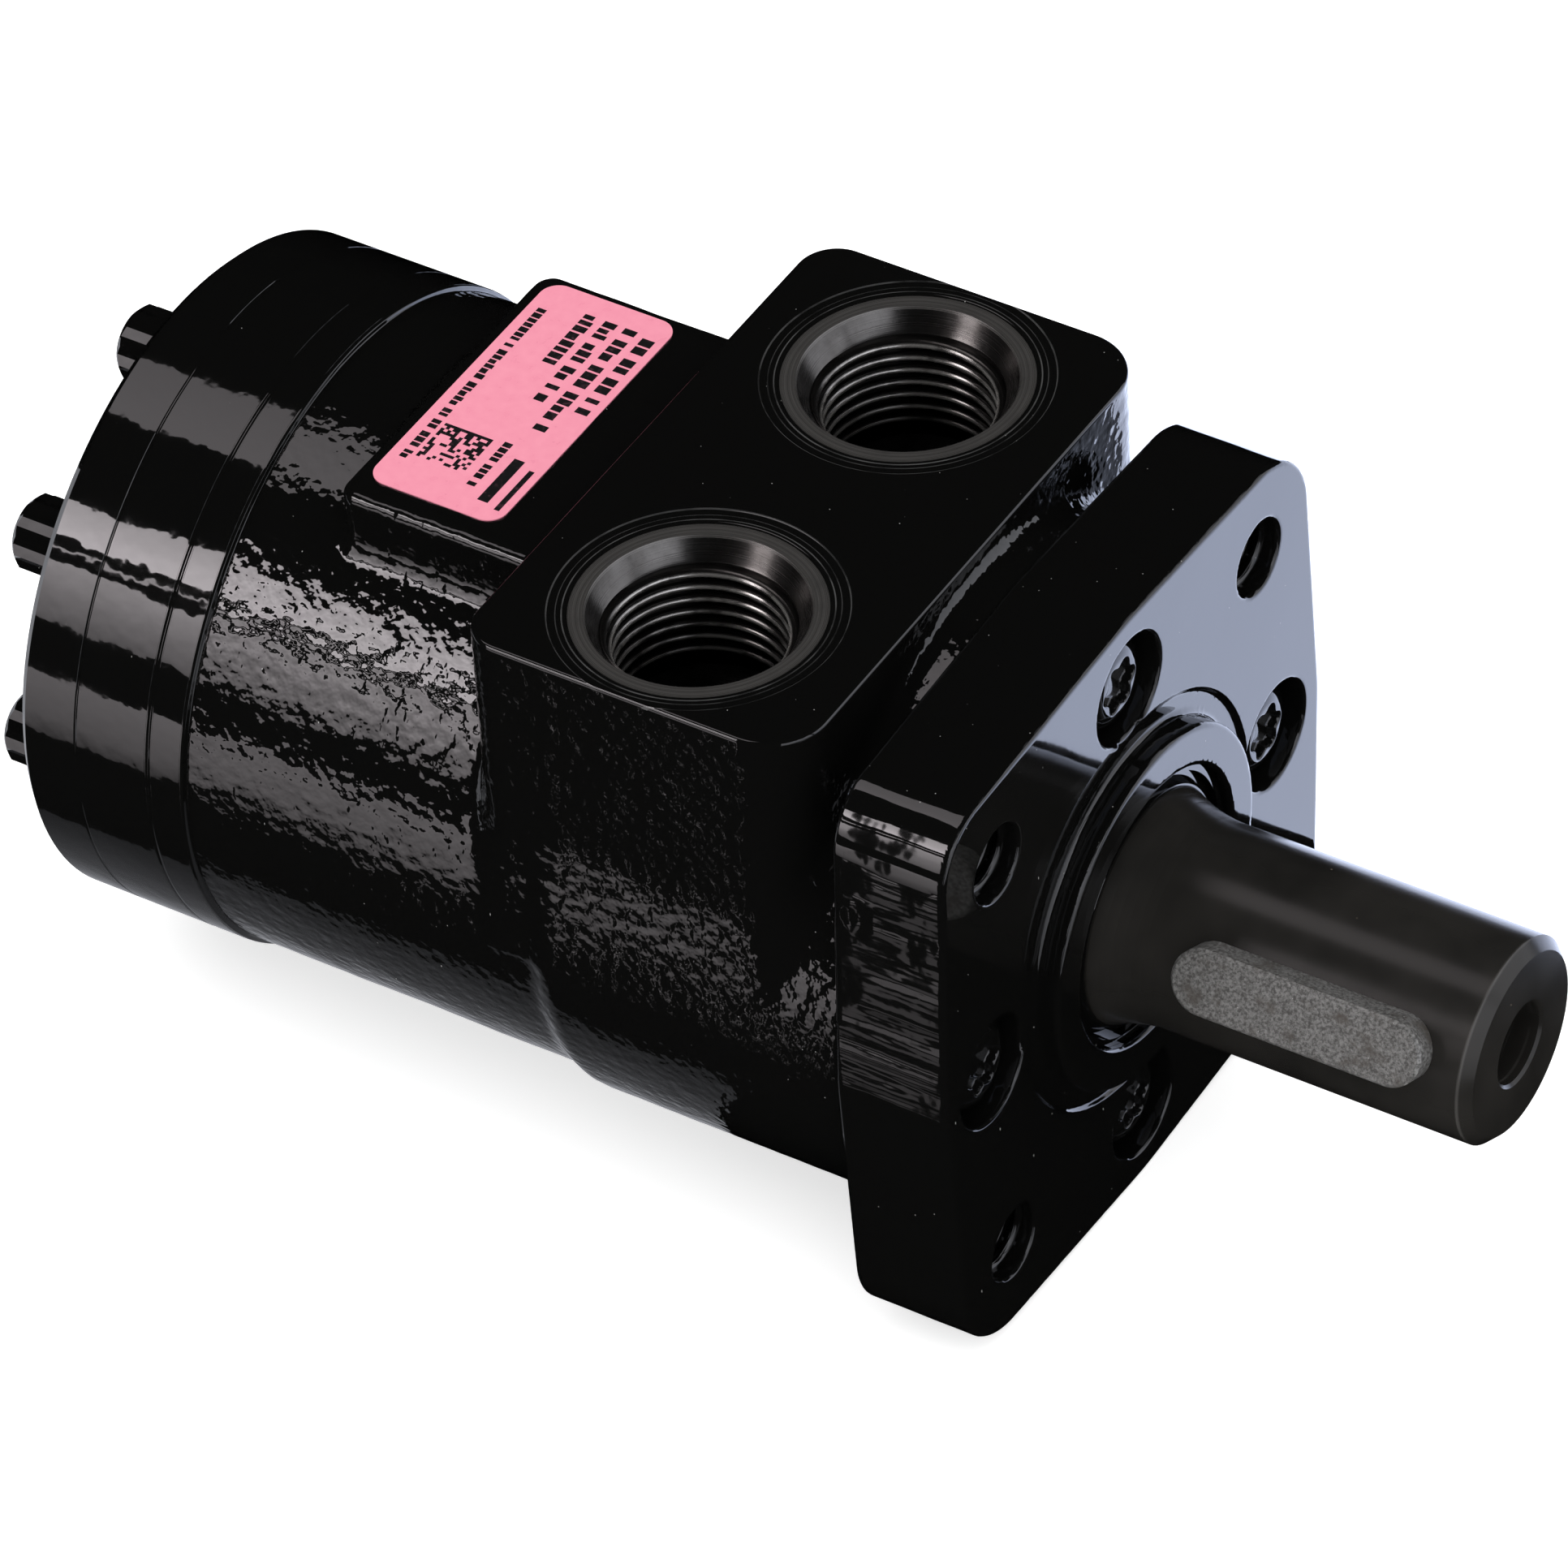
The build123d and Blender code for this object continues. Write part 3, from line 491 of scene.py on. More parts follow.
# ---- materials -------------------------------------------------------------------
class Nodes:
    """Adds shader nodes to a material and links them by socket name."""

    def __init__(self, name):
        self.material = bpy.data.materials.new(name)
        self.material.use_nodes = True
        self.tree = self.material.node_tree
        self.tree.nodes.clear()

    def add(self, kind, inputs=None, **settings):
        node = self.tree.nodes.new(kind)
        for key, value in settings.items():
            setattr(node, key, value)
        for key, value in (inputs or {}).items():
            self.feed(node, key, value)
        return node

    def feed(self, node, key, value):
        if isinstance(value, bpy.types.NodeSocket):
            self.tree.links.new(value, node.inputs[key])
        elif isinstance(value, bpy.types.Node):
            self.tree.links.new(value.outputs[0], node.inputs[key])
        else:
            node.inputs[key].default_value = value

    def place(self, scale=(1, 1, 1), turn=(0, 0, 0)):
        where = self.add("ShaderNodeTexCoord")
        inputs = {"Vector": where.outputs["Object"], "Scale": scale, "Rotation": turn}
        return self.add("ShaderNodeMapping", inputs)

    def noise(self, vector, per_metre, detail=2.0, rough=0.5, distortion=0.0):
        inputs = {"Vector": vector, "Scale": per_metre, "Detail": detail, "Roughness": rough,
                  "Distortion": distortion}
        return self.add("ShaderNodeTexNoise", inputs)

    def span(self, value, low, high, low_out=0.0, high_out=1.0):
        inputs = {"Value": value, "From Min": low, "From Max": high, "To Min": low_out, "To Max": high_out}
        return self.add("ShaderNodeMapRange", inputs)

    def calc(self, operation, a, b=0.0):
        node = self.add("ShaderNodeMath", operation=operation)
        self.feed(node, 0, a)
        self.feed(node, 1, b)
        return node

    def mix(self, factor, a, b):
        node = self.add("ShaderNodeMix", data_type="RGBA")
        self.feed(node, 0, factor)
        self.feed(node, 6, a)
        self.feed(node, 7, b)
        return node.outputs[2]

    def bump(self, height, depth_mm, before=None):
        inputs = {"Height": height, "Distance": depth_mm * MM, "Strength": 1.0}
        if before:
            inputs["Normal"] = before
        return self.add("ShaderNodeBump", inputs)

    def specks(self, vector, per_metre, size, rarity):
        """Sparse small dots: 1 inside a dot, 0 elsewhere."""
        cells = self.add("ShaderNodeTexVoronoi", {"Vector": vector, "Scale": per_metre})
        dot = self.span(cells.outputs["Distance"], size * 0.6, size, 1.0, 0.0)
        chosen = self.span(cells.outputs["Color"], rarity, rarity + 0.02)
        return self.calc("MULTIPLY", dot, chosen)

    def finish(self, **inputs):
        shader = self.add("ShaderNodeBsdfPrincipled", {k.replace("_", " "): v for k, v in inputs.items()})
        out = self.add("ShaderNodeOutputMaterial")
        self.feed(out, "Surface", shader)
        return self.material


def grey(value, warm=0.0):
    return (value * (1 + warm), value, value * (1 - warm), 1)


ENAMEL = (0.0028, 0.0028, 0.0027, 1)
DUST = (0.30, 0.30, 0.29, 1)


def enamel(name, wave=0.0, ripple=0.0, lumps=0.0, dust=0.5, painted_glint_circles=()):
    """Thick gloss black enamel. wave: slow sag of the paint, ripple: orange peel,
    lumps: sand-cast grain showing through, all heights in mm. The thin lighter rings round the ports
    are painted highlights, standing in for the glints on the spotface edge and the paint lip."""
    n = Nodes(name)
    at = n.place()
    bump = n.bump(n.noise(at, 55.0, 1.0), wave)
    bump = n.bump(n.noise(at, 380.0, 1.5), ripple, bump)
    if lumps:
        bump = n.bump(n.noise(at, 600.0, 1.8, 0.5), lumps, bump)
        pits = n.add("ShaderNodeTexVoronoi", {"Vector": at, "Scale": 780.0, "Smoothness": 0.8},
                     feature="SMOOTH_F1")
        bump = n.bump(pits.outputs["Distance"], lumps * 0.5, bump)
    fibre = n.specks(n.place((1, 1, 0.3), (0.5, 0.7, 0.2)), 900.0, 0.07, 0.90 - 0.03 * dust)
    dots = n.specks(at, 800.0, 0.06, 0.90 - 0.03 * dust)
    both = n.calc("MAXIMUM", dots, fibre)
    colour = n.mix(both, ENAMEL, DUST)
    # Painted highlights: thin lighter rings round each port, broken by noise, in place of the glints on the
    # spotface edge and the paint lip.
    for centre, radius, width, tone in painted_glint_circles:
        where = n.add("ShaderNodeTexCoord")
        to_centre = (-centre[0] * MM, -centre[1] * MM, 0)
        out = n.add("ShaderNodeVectorMath", {0: where.outputs["Object"], 1: to_centre}, operation="ADD")
        flat = n.add("ShaderNodeVectorMath", {0: out, 1: (1.0, 1.0, 0.0)}, operation="MULTIPLY")
        length = n.add("ShaderNodeVectorMath", {0: flat}, operation="LENGTH")
        away = n.calc("ABSOLUTE", n.calc("SUBTRACT", length.outputs["Value"], radius * MM))
        line = n.span(away, width * 0.5 * MM, width * MM, 1.0, 0.0)
        painted_highlight_line = n.calc("MULTIPLY", line, n.span(n.noise(at, 240.0, 2.0), 0.35, 0.6, 0.25, 1.0))
        colour = n.mix(painted_highlight_line, colour, grey(tone))
    rough = n.span(n.noise(at, 120.0, 3.0), 0.3, 0.7, 0.03, 0.055)
    return n.finish(Base_Color=colour, Roughness=rough, Normal=bump, IOR=1.5)


def flange_enamel():
    """Smooth on the faces; on the sides the cutter's marks along X show through the paint."""
    n = Nodes("enamel_flange")
    at = n.place()
    bump = n.bump(n.noise(at, 45.0, 1.0), 0.05)
    bump = n.bump(n.noise(at, 300.0, 2.0), 0.004, bump)
    around = n.add("ShaderNodeTexCoord")
    split = n.add("ShaderNodeSeparateXYZ", {0: around.outputs["Normal"]})
    flat = n.calc("ABSOLUTE", split.outputs["X"])
    side = n.span(flat, 0.15, 0.5, 1.0, 0.0)
    marks = n.noise(n.place((0.07, 1, 1)), 620.0, 0.4, 0.5, 0.2)
    bump = n.bump(n.calc("MULTIPLY", marks, side), 0.065, bump)
    drops = n.noise(at, 480.0, 1.0)
    bump = n.bump(n.calc("MULTIPLY", drops, side), 0.012, bump)
    dots = n.specks(at, 800.0, 0.06, 0.80)
    fibre = n.specks(n.place((1, 1, 0.3), (0.9, 0.2, 0.2)), 900.0, 0.07, 0.80)
    dots = n.calc("MAXIMUM", dots, fibre)
    colour = n.mix(dots, ENAMEL, DUST)
    rough = n.span(n.noise(at, 120.0, 3.0), 0.3, 0.7, 0.03, 0.05)
    return n.finish(Base_Color=colour, Roughness=rough, Normal=bump, IOR=1.5)


def turned_steel(name, tone, rough, centre_mm, axis, ring_per_mm=6.0, warm=0.04, crest=None,
                 bare=False):
    """Steel with fine rings left by the tool round an axis through a point.
    crest: radius in mm inside which the colour is lighter, a painted highlight on the thread crests; the
    colour also darkens with depth below the port face, painted shade down the hole. bare: unpainted ring on
    the port face, with bright tool rings."""
    n = Nodes(name)
    where = n.add("ShaderNodeTexCoord")
    shift = n.add("ShaderNodeVectorMath", {0: where.outputs["Object"], 1: tuple(-c * MM for c in centre_mm)},
                  operation="ADD")
    keep = n.add("ShaderNodeVectorMath", {0: shift, 1: tuple(0.0 if a else 1.0 for a in axis)},
                 operation="MULTIPLY")
    radius = n.add("ShaderNodeVectorMath", {0: keep}, operation="LENGTH")
    split = n.add("ShaderNodeSeparateXYZ", {0: shift})
    height = split.outputs["XYZ"[[i for i, a in enumerate(axis) if a][0]]]
    ring = n.calc("ADD", radius.outputs["Value"], height)
    rings = n.add("ShaderNodeTexNoise", {"W": n.calc("MULTIPLY", ring, 1000.0 * ring_per_mm),
                                         "Scale": 1.0, "Detail": 2.0}, noise_dimensions="1D")
    grime = n.noise(n.place(), 260.0, 4.0, 0.65)
    tone_map = n.span(grime, 0.35, 0.7, 0.45, 1.15)
    colour = n.mix(tone_map, grey(tone * 0.35, warm * 2), grey(tone, warm))
    if crest:
        # Painted highlight: lighter colour on the thread crests, broken by the grime noise.
        painted_crest_band = n.span(radius.outputs["Value"], (crest - 0.1) * MM, (crest + 0.12) * MM, 1.0, 0.0)
        painted_crest_highlight = n.calc("MULTIPLY", painted_crest_band, n.span(grime, 0.36, 0.5, 0.35, 1.0))
        colour = n.mix(painted_crest_highlight, colour, grey(0.34, warm))
        metallic = n.span(painted_crest_highlight, 0.0, 1.0, 0.97, 0.75)
        # Painted shade: the colour fades to near black with depth down the port.
        depth = n.span(height, (PORT_FACE_Z - 17) * MM, (PORT_FACE_Z - 6) * MM)
        colour = n.mix(depth, grey(0.004), colour)
    elif bare:
        colour = n.mix(n.span(rings, 0.45, 0.75, 0.0, 0.8), colour, grey(tone * 1.7, warm))
        metallic = n.span(grime, 0.3, 0.7, 0.62, 0.8)
    else:
        metallic = n.span(grime, 0.3, 0.7, 0.5, 0.6)
    roughness = n.span(rings, 0.3, 0.7, rough * 0.8, rough * 1.3)
    bump = n.bump(rings, 0.006)
    bump = n.bump(grime, 0.01, bump)
    return n.finish(Base_Color=colour, Metallic=metallic, Roughness=roughness, Normal=bump)


def phosphate():
    """Satin black manganese phosphate on the shaft, with a painted highlight: a lighter line along the end
    chamfer.
    """
    n = Nodes("shaft_phosphate")
    at = n.place()
    grain = n.noise(at, 1500.0, 3.0, 0.6)
    cloud = n.noise(at, 60.0, 3.0, 0.6)
    dots = n.specks(at, 500.0, 0.07, 0.88)
    colour = n.mix(n.span(cloud, 0.35, 0.7), (0.012, 0.0115, 0.0105, 1), (0.023, 0.0215, 0.0195, 1))
    colour = n.mix(dots, colour, (0.16, 0.13, 0.10, 1))
    where = n.add("ShaderNodeTexCoord")
    split = n.add("ShaderNodeSeparateXYZ", {0: where.outputs["Object"]})
    # Painted highlight: a thin lighter ring along the end chamfer edge.
    from_edge = n.calc("ABSOLUTE", n.calc("SUBTRACT", split.outputs["X"], SHAFT_CHAMFER_X * MM))
    painted_highlight_line = n.calc("MULTIPLY", n.span(from_edge, 0.08 * MM, 0.22 * MM, 0.35, 0.0), n.span(cloud, 0.4, 0.6))
    colour = n.mix(painted_highlight_line, colour, (0.12, 0.115, 0.11, 1))
    rough = n.span(cloud, 0.3, 0.7, 0.20, 0.26)
    bump = n.bump(grain, 0.004)
    return n.finish(Base_Color=colour, Metallic=0.2, Roughness=rough, Normal=bump, IOR=1.36)


def key_steel():
    """Cold drawn key steel: grey, finely pitted, with brown oil stains."""
    n = Nodes("key_steel")
    at = n.place()
    fine = n.noise(at, 2600.0, 3.0, 0.7)
    cloud = n.noise(at, 320.0, 4.0, 0.6)
    colour = n.mix(n.span(fine, 0.38, 0.64), (0.075, 0.073, 0.07, 1), (0.24, 0.237, 0.232, 1))
    colour = n.mix(n.span(cloud, 0.55, 0.75), colour, (0.085, 0.075, 0.066, 1))
    bright = n.specks(at, 1500.0, 0.14, 0.80)
    colour = n.mix(bright, colour, (0.40, 0.39, 0.38, 1))
    stain = n.specks(n.place((1, 0.5, 0.6), (0.2, 0.4, 0.9)), 150.0, 0.14, 0.78)
    colour = n.mix(stain, colour, (0.04, 0.022, 0.012, 1))
    rough = n.span(fine, 0.3, 0.7, 0.38, 0.55)
    bump = n.bump(fine, 0.02)
    return n.finish(Base_Color=colour, Metallic=0.4, Roughness=rough, Normal=bump)


def label_paper():
    """Coated pink paper, slightly mottled."""
    n = Nodes("label_pink")
    at = n.place()
    mottle = n.noise(at, 700.0, 3.0)
    colour = n.mix(n.span(mottle, 0.3, 0.7), (0.80, 0.265, 0.36, 1), (0.84, 0.29, 0.385, 1))
    rough = n.span(mottle, 0.3, 0.7, 0.26, 0.36)
    return n.finish(Base_Color=colour, Roughness=rough, Normal=n.bump(mottle, 0.006))


def label_ink():
    """Black thermal print, a little scuffed."""
    n = Nodes("label_ink")
    wear = n.noise(n.place(), 1800.0, 3.0)
    colour = n.mix(n.span(wear, 0.55, 0.75), (0.008, 0.007, 0.008, 1), (0.06, 0.02, 0.03, 1))
    return n.finish(Base_Color=colour, Roughness=n.span(wear, 0.3, 0.7, 0.3, 0.45))


def rubber():
    """Moulded black rubber."""
    n = Nodes("rubber")
    grain = n.noise(n.place(), 1400.0, 3.0)
    colour = n.mix(grain, (0.008, 0.008, 0.008, 1), (0.018, 0.018, 0.018, 1))
    rough = n.span(grain, 0.3, 0.7, 0.4, 0.55)
    return n.finish(Base_Color=colour, Roughness=rough, Normal=n.bump(grain, 0.01))


def dark_bore():
    """Oily raw iron inside the casting."""
    n = Nodes("raw_bore")
    grain = n.noise(n.place(), 500.0, 4.0)
    colour = n.mix(grain, (0.012, 0.011, 0.010, 1), (0.04, 0.037, 0.034, 1))
    return n.finish(Base_Color=colour, Metallic=0.8, Roughness=n.span(grain, 0.3, 0.7, 0.4, 0.6))


def paint(node, material):
    """Gives a CAD object one material, and smooth shading inside its edges."""
    mesh = nodes[node].data
    mesh.materials.clear()
    mesh.materials.append(material)
    set_sharp(nodes[node], 28)


def bevel(node, width_mm, segments=3, angle=35):
    """Rounds a CAD object's edges, as thick paint or rolling does."""
    m = nodes[node].modifiers.new("paint_edge", "BEVEL")
    m.width = width_mm * MM
    m.segments = segments
    m.limit_method = "ANGLE"
    m.angle_limit = math.radians(angle)
    m.use_clamp_overlap = False
    m.harden_normals = True


PORT_AXES = [(p.x, p.y, 0) for p in (PORT_A, PORT_B)]
# (radius, width, tone) in mm of the lighter rings painted round each port: painted highlights of the spotface
# edge and the paint lip.
PAINTED_PORT_GLINTS = ((17.02, 0.10, 0.05), (16.0, 0.08, 0.03), (15.3, 0.10, 0.06))
cast_black = enamel("enamel_cast", wave=0.10, ripple=0.012, lumps=0.125, dust=1.0)
ring_black = enamel("enamel_ring", wave=0.14, ripple=0.045, dust=0.8)
face_black = enamel("enamel_face", wave=0.02, ripple=0.002, dust=3.0,
                    painted_glint_circles=[(p, *line) for p in PORT_AXES for line in PAINTED_PORT_GLINTS])
flange_black = flange_enamel()
port_rings = [turned_steel(f"port_ring_{i}", 0.11, 0.3, p, (0, 0, 1), bare=True)
              for i, p in enumerate(PORT_AXES)]
CREST_RADIUS = PORT_THREAD_RADIUS - 0.5 * 0.61 * PORT_PITCH - 0.35
port_steels = [turned_steel(f"port_steel_{i}", 0.10, 0.22, p, (0, 0, 1), crest=CREST_RADIUS)
               for i, p in enumerate(PORT_AXES)]
inner_steel = turned_steel("inner_steel", 0.45, 0.25, (0, 0, 0), (1, 0, 0))
bore_iron = dark_bore()
seal_rubber = rubber()

for name in ("end_cap", "gerotor_ring", "spacer_plate", "end_cap_screws"):
    paint(name, ring_black)
paint("dust_seal", face_black)
paint("output_shaft", phosphate())
paint("shaft_key", key_steel())
paint("name_label", label_paper())
for name in ("gerotor_star", "drive_link", "drive_spacer", "thrust_race", "bearing_cage",
             "thrust_needles", "backup_washer"):
    paint(name, inner_steel)
for name in ("shaft_seal", "flange_seal", "housing_seal", "spacer_seal", "end_cap_seal"):
    paint(name, seal_rubber)
for name in ("end_cap", "gerotor_ring", "spacer_plate"):
    bevel(name, 0.16)
bevel("end_cap_screws", 0.2)
bevel("shaft_key", 0.2)


# ---- casting ---------------------------------------------------------------------
# places in the casting's list of materials; the ports' own follow on from PORT_PLACE and RING_PLACE
FACE_PLACE, PORT_PLACE, BORE_PLACE, RING_PLACE = 1, 2, 4, 5


def colour_casting(obj):
    """Bare steel inside the ports, raw iron in the bores, smooth paint on the port face."""
    mesh = obj.data
    mesh.materials.clear()
    for material in (cast_black, face_black, *port_steels, bore_iron, *port_rings):
        mesh.materials.append(material)
    count = len(mesh.polygons)
    centres = np.empty(count * 3)
    mesh.polygons.foreach_get("center", centres)
    c = centres.reshape(-1, 3) / MM
    index = np.zeros(count, dtype=np.int32)
    index[c[:, 2] > PORT_FACE_Z - BLOCK_EDGE * 1.2] = FACE_PLACE
    for k, port in enumerate((PORT_A, PORT_B)):
        radius = np.hypot(c[:, 0] - port.x, c[:, 1] - port.y)
        inside = (radius < BARE_RING[0] - 0.03) & (c[:, 2] > PORT_FACE_Z - PORT_TIP_DEPTH - 0.1)
        inside &= c[:, 2] < PORT_FACE_Z - SPOTFACE[1] - 0.02
        index[inside] = PORT_PLACE + k
        index[inside & (c[:, 2] > PORT_FACE_Z - BARE_RING[1] - 0.35)] = RING_PLACE + k
    deep = (np.hypot(c[:, 1], c[:, 2]) < GALLERY_RADIUS + 0.2) & (c[:, 0] < HOUSING_HIGH.x - 0.3)
    index[deep & (c[:, 0] > HOUSING_LOW.x + 0.3)] = BORE_PLACE
    mesh.polygons.foreach_set("material_index", index)


def make_casting():
    """The painted housing, which stands for the CAD one."""
    casting = casting_blank(CAST_VOXEL)
    boolean(casting, casting_hollows(), "DIFFERENCE")
    boolean(casting, screw_hollows(), "DIFFERENCE")
    colour_casting(casting)
    set_sharp(casting, 32)
    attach(casting, "body")
    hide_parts("housing")


make_casting()


# ---- flange: thick paint over the machined plate ------------------------------------
FLANGE_MID_HALF = 42.3
FLANGE_CORNER_HALF = 40.1
FLANGE_TIGHT_CORNER = 7.0      # soft_common radius that gives the 8 mm corner at -Y +Z
FLANGE_WIDE_CORNER = 10.0      # the same for the other three, 11.5 mm
FLANGE_EDGE = 0.55
PILOT_RADIUS = 22.2
GROOVE_RADIUS = 25.35
GROOVE_DEPTH = 0.55
SEAL_SEAT_RADIUS = 17.1
COUNTERBORE = (6.9, 9.2)
TAPPED_CIRCLE = mounts["mounting_holes"]["dims"]["pcd_mm"] / 2
TAPPED_RADIUS = mounts["mounting_holes"]["dims"]["hole_r_mm"]
FRONT_HOLES = [(FRONT_SCREW_CIRCLE * math.cos(a), FRONT_SCREW_CIRCLE * math.sin(a))
               for a in (math.pi / 2 * k for k in range(4))]
TAPPED_HOLES = [(TAPPED_CIRCLE * math.cos(a), TAPPED_CIRCLE * math.sin(a))
                for a in (math.pi / 2 * (k + 0.5) for k in range(4))]


def flange_distance(p):
    """Signed distance in millimetres to the painted flange, with every edge rounded."""
    x, y, z = p[:, 0], p[:, 1], p[:, 2]
    tilt = math.atan2(FLANGE_MID_HALF - FLANGE_CORNER_HALF, FLANGE_CORNER_HALF)
    side_y = (np.abs(y) - FLANGE_MID_HALF) * math.cos(tilt) + np.hypot(z, 0.8) * math.sin(tilt)
    side_z = (np.abs(z) - FLANGE_MID_HALF) * math.cos(tilt) + np.hypot(y, 0.8) * math.sin(tilt)
    corner = np.where((y < 0) & (z > 0), FLANGE_TIGHT_CORNER, FLANGE_WIDE_CORNER)
    plate = soft_common(side_y, side_z, corner)
    plate = soft_common(plate, x, FLANGE_EDGE)
    plate = soft_common(plate, FLANGE_LOW.x - x, FLANGE_EDGE)
    radius = np.hypot(y, z)
    groove = soft_common(radius - GROOVE_RADIUS, -GROOVE_DEPTH - x, 0.5)
    plate = soft_common(plate, -groove, 0.35)
    pilot = soft_common(radius - PILOT_RADIUS, x - FLANGE_HIGH.x, 0.6)
    plate = soft_union(plate, pilot, 0.9)
    plate = soft_common(plate, SEAL_SEAT_RADIUS - radius, 0.5)
    for cy, cz in FRONT_HOLES:
        away = np.hypot(y - cy, z - cz)
        plate = soft_common(plate, -np.maximum(away - COUNTERBORE[0], -COUNTERBORE[1] - x), 0.45)
    for cy, cz in TAPPED_HOLES:
        plate = soft_common(plate, TAPPED_RADIUS - np.hypot(y - cy, z - cz), 0.45)
    return plate


def flange_hidden(p):
    """Parts of the flange that stay as they are: the bore, the hole floors and the rear face."""
    x, y, z = p[:, 0], p[:, 1], p[:, 2]
    hidden = np.hypot(y, z) < SEAL_SEAT_RADIUS - 0.35
    for cy, cz in FRONT_HOLES:
        hidden |= (np.hypot(y - cy, z - cz) < COUNTERBORE[0] + 0.4) & (x < 0.6 - COUNTERBORE[1])
    return hidden | ((x < FLANGE_LOW.x + 0.7) & (np.hypot(y, z) < 39))


# (x, y, z, radius) of ringed dents in the paint
DENTS = ((-8.2, 1.6, 42.3, 0.55), (-9.8, 0.6, 42.3, 0.5), (-12.2, -41.2, 25.5, 1.3))


def flange_relief(p, normal):
    """Paint swells: long sags on the sides, little on the faces, and a few ringed dents."""
    x, y, z = p[:, 0], p[:, 1], p[:, 2]
    side = smoothstep(1 - np.abs(normal[:, 0]), 0.3, 0.8)
    marks = fractal(p * np.array([0.22, 1, 1]), 2.6, 1, 11) * 0.03
    drops = fractal(p, 5.0, 1, 12) * 0.045
    height = (marks + drops) * side + fractal(p, 14.0, 1, 13) * 0.015 * (1 - side)
    for dx, dy, dz, size in DENTS:
        away = np.sqrt((x - dx) ** 2 + (y - dy) ** 2 + (0.6 * (z - dz)) ** 2)
        height += 0.12 * np.exp(-((away - size) / (0.35 * size)) ** 2)
    outer = (np.hypot(y, z) > SEAL_SEAT_RADIUS + 1.5) & ~flange_hidden(p)
    return height * outer


def make_flange():
    """Even mesh of the CAD flange, drawn onto the painted surface outside the hidden parts."""
    cad = nodes["front_flange"].data
    flange = bpy.data.objects.new("front_flange_painted", cad.copy())
    scene.collection.objects.link(flange)
    even_mesh(flange, FLANGE_VOXEL)
    mesh = flange.data
    exact = BVHTree.FromPolygons([v.co.copy() for v in cad.vertices],
                                 [tuple(f.vertices) for f in cad.polygons])
    p = read_points(mesh)
    for i in np.flatnonzero(flange_hidden(p)):
        p[i] = exact.find_nearest(mesh.vertices[i].co)[0] / MM
    write_points(mesh, p)
    p = draw_on(mesh, flange_distance, flange_hidden)
    for bend in FLANGE_BENDS:
        refine(mesh, bend, flange_hidden)
        p = draw_on(mesh, flange_distance, flange_hidden)
    normal = slope(flange_distance, p)
    p += normal * flange_relief(p, normal)[:, None]
    p[:, 1:] = np.clip(p[:, 1:], FLANGE_LOW.y, FLANGE_HIGH.y)
    write_points(mesh, p)
    mesh.materials.clear()
    mesh.materials.append(flange_black)
    set_sharp(flange, 50)
    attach(flange, "body")
    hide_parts("front_flange")


make_flange()

# ---- paint that runs into the seams of the stack -------------------------------------
SEAMS = ((HOUSING_LOW.x, 0.62), (box_mm("gerotor_ring")[1].x, 0.0), (box_mm("end_cap")[1].x, 0.0))
STACK_RADIUS = box_mm("gerotor_ring")[1].z
SEAM_HALF = 0.62
SEAM_INNER_RADIUS = 39.3
SEAM_SINK = 0.07


def seam_paint(index, x, step=0.0):
    """A ring of paint across one seam: nearly level with both discs, sunk a little in the middle."""
    steps = 360
    profile = [-1.0, -0.72, -0.46, -0.24, -0.1, 0.0, 0.1, 0.24, 0.46, 0.72, 1.0]
    verts, faces = [], []
    for i in range(steps):
        a = 2 * math.pi * i / steps
        c, s = math.cos(a), math.sin(a)
        wander = noise.noise(Vector((3 * c, 3 * s, 5.0 * index)))
        fill = 1 + 0.5 * noise.noise(Vector((9 * c, 9 * s, 2.0 + index)))
        for t in profile:
            sink = SEAM_SINK * fill * math.exp(-(3.2 * (t - 0.12 * wander)) ** 2)
            edge = 0.05 * max(0.0, abs(t) - 0.7) / 0.3
            drop = step * min(1.0, max(0.0, (t + 0.02 + 0.05 * wander) / 0.42))
            radius = STACK_RADIUS - 0.015 - sink - edge - drop
            verts.append((x + SEAM_HALF * t, radius * c, radius * s))
        for t in (1.0, -1.0):
            verts.append((x + SEAM_HALF * t, SEAM_INNER_RADIUS * c, SEAM_INNER_RADIUS * s))
    rim = len(profile) + 2
    for i in range(steps):
        for k in range(rim):
            a, b = i * rim + k, i * rim + (k + 1) % rim
            j = (i + 1) % steps * rim
            faces.append((a, b, j + (k + 1) % rim, j + k))
    ring = new_object(f"seam_paint_{index}", verts, faces, ring_black)
    fix_normals(ring.data)
    set_sharp(ring, 60)
    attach(ring, "body")


for i, (x, step) in enumerate(SEAMS):
    seam_paint(i, x, step)


# ---- threads ---------------------------------------------------------------------
for tag, port, steel in (("a", PORT_A, port_steels[0]), ("b", PORT_B, port_steels[1])):
    thread = ridge(f"port_{tag}_thread", up_at(port.x, port.y, PORT_FACE_Z), PORT_THREAD_RADIUS,
                   0.61 * PORT_PITCH, PORT_PITCH, -PORT_THREAD_DEPTH + 0.6, -CONE_DEPTH + 0.3, steel)
    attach(thread, "body")
for i, hole in enumerate(TAPPED_HOLES):
    thread = ridge(f"mounting_thread_{i}", along_x(*hole), TAPPED_RADIUS, 0.5 * MOUNT_PITCH,
                   MOUNT_PITCH, FLANGE_LOW.x + 0.2, -0.5, flange_black, 40)
    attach(thread, "body")


# ---- painted details of the front --------------------------------------------------
SCREWS_LOW, SCREWS_HIGH = box_mm("flange_screws")
HEAD_RADIUS = 5.95
HEAD_REAR_X = -9.1
SHANK_RADIUS = 3.9
SOCKET_RADIUS = 2.95
SOCKET_LOBE = 0.42
SOCKET_DEPTH = 1.25


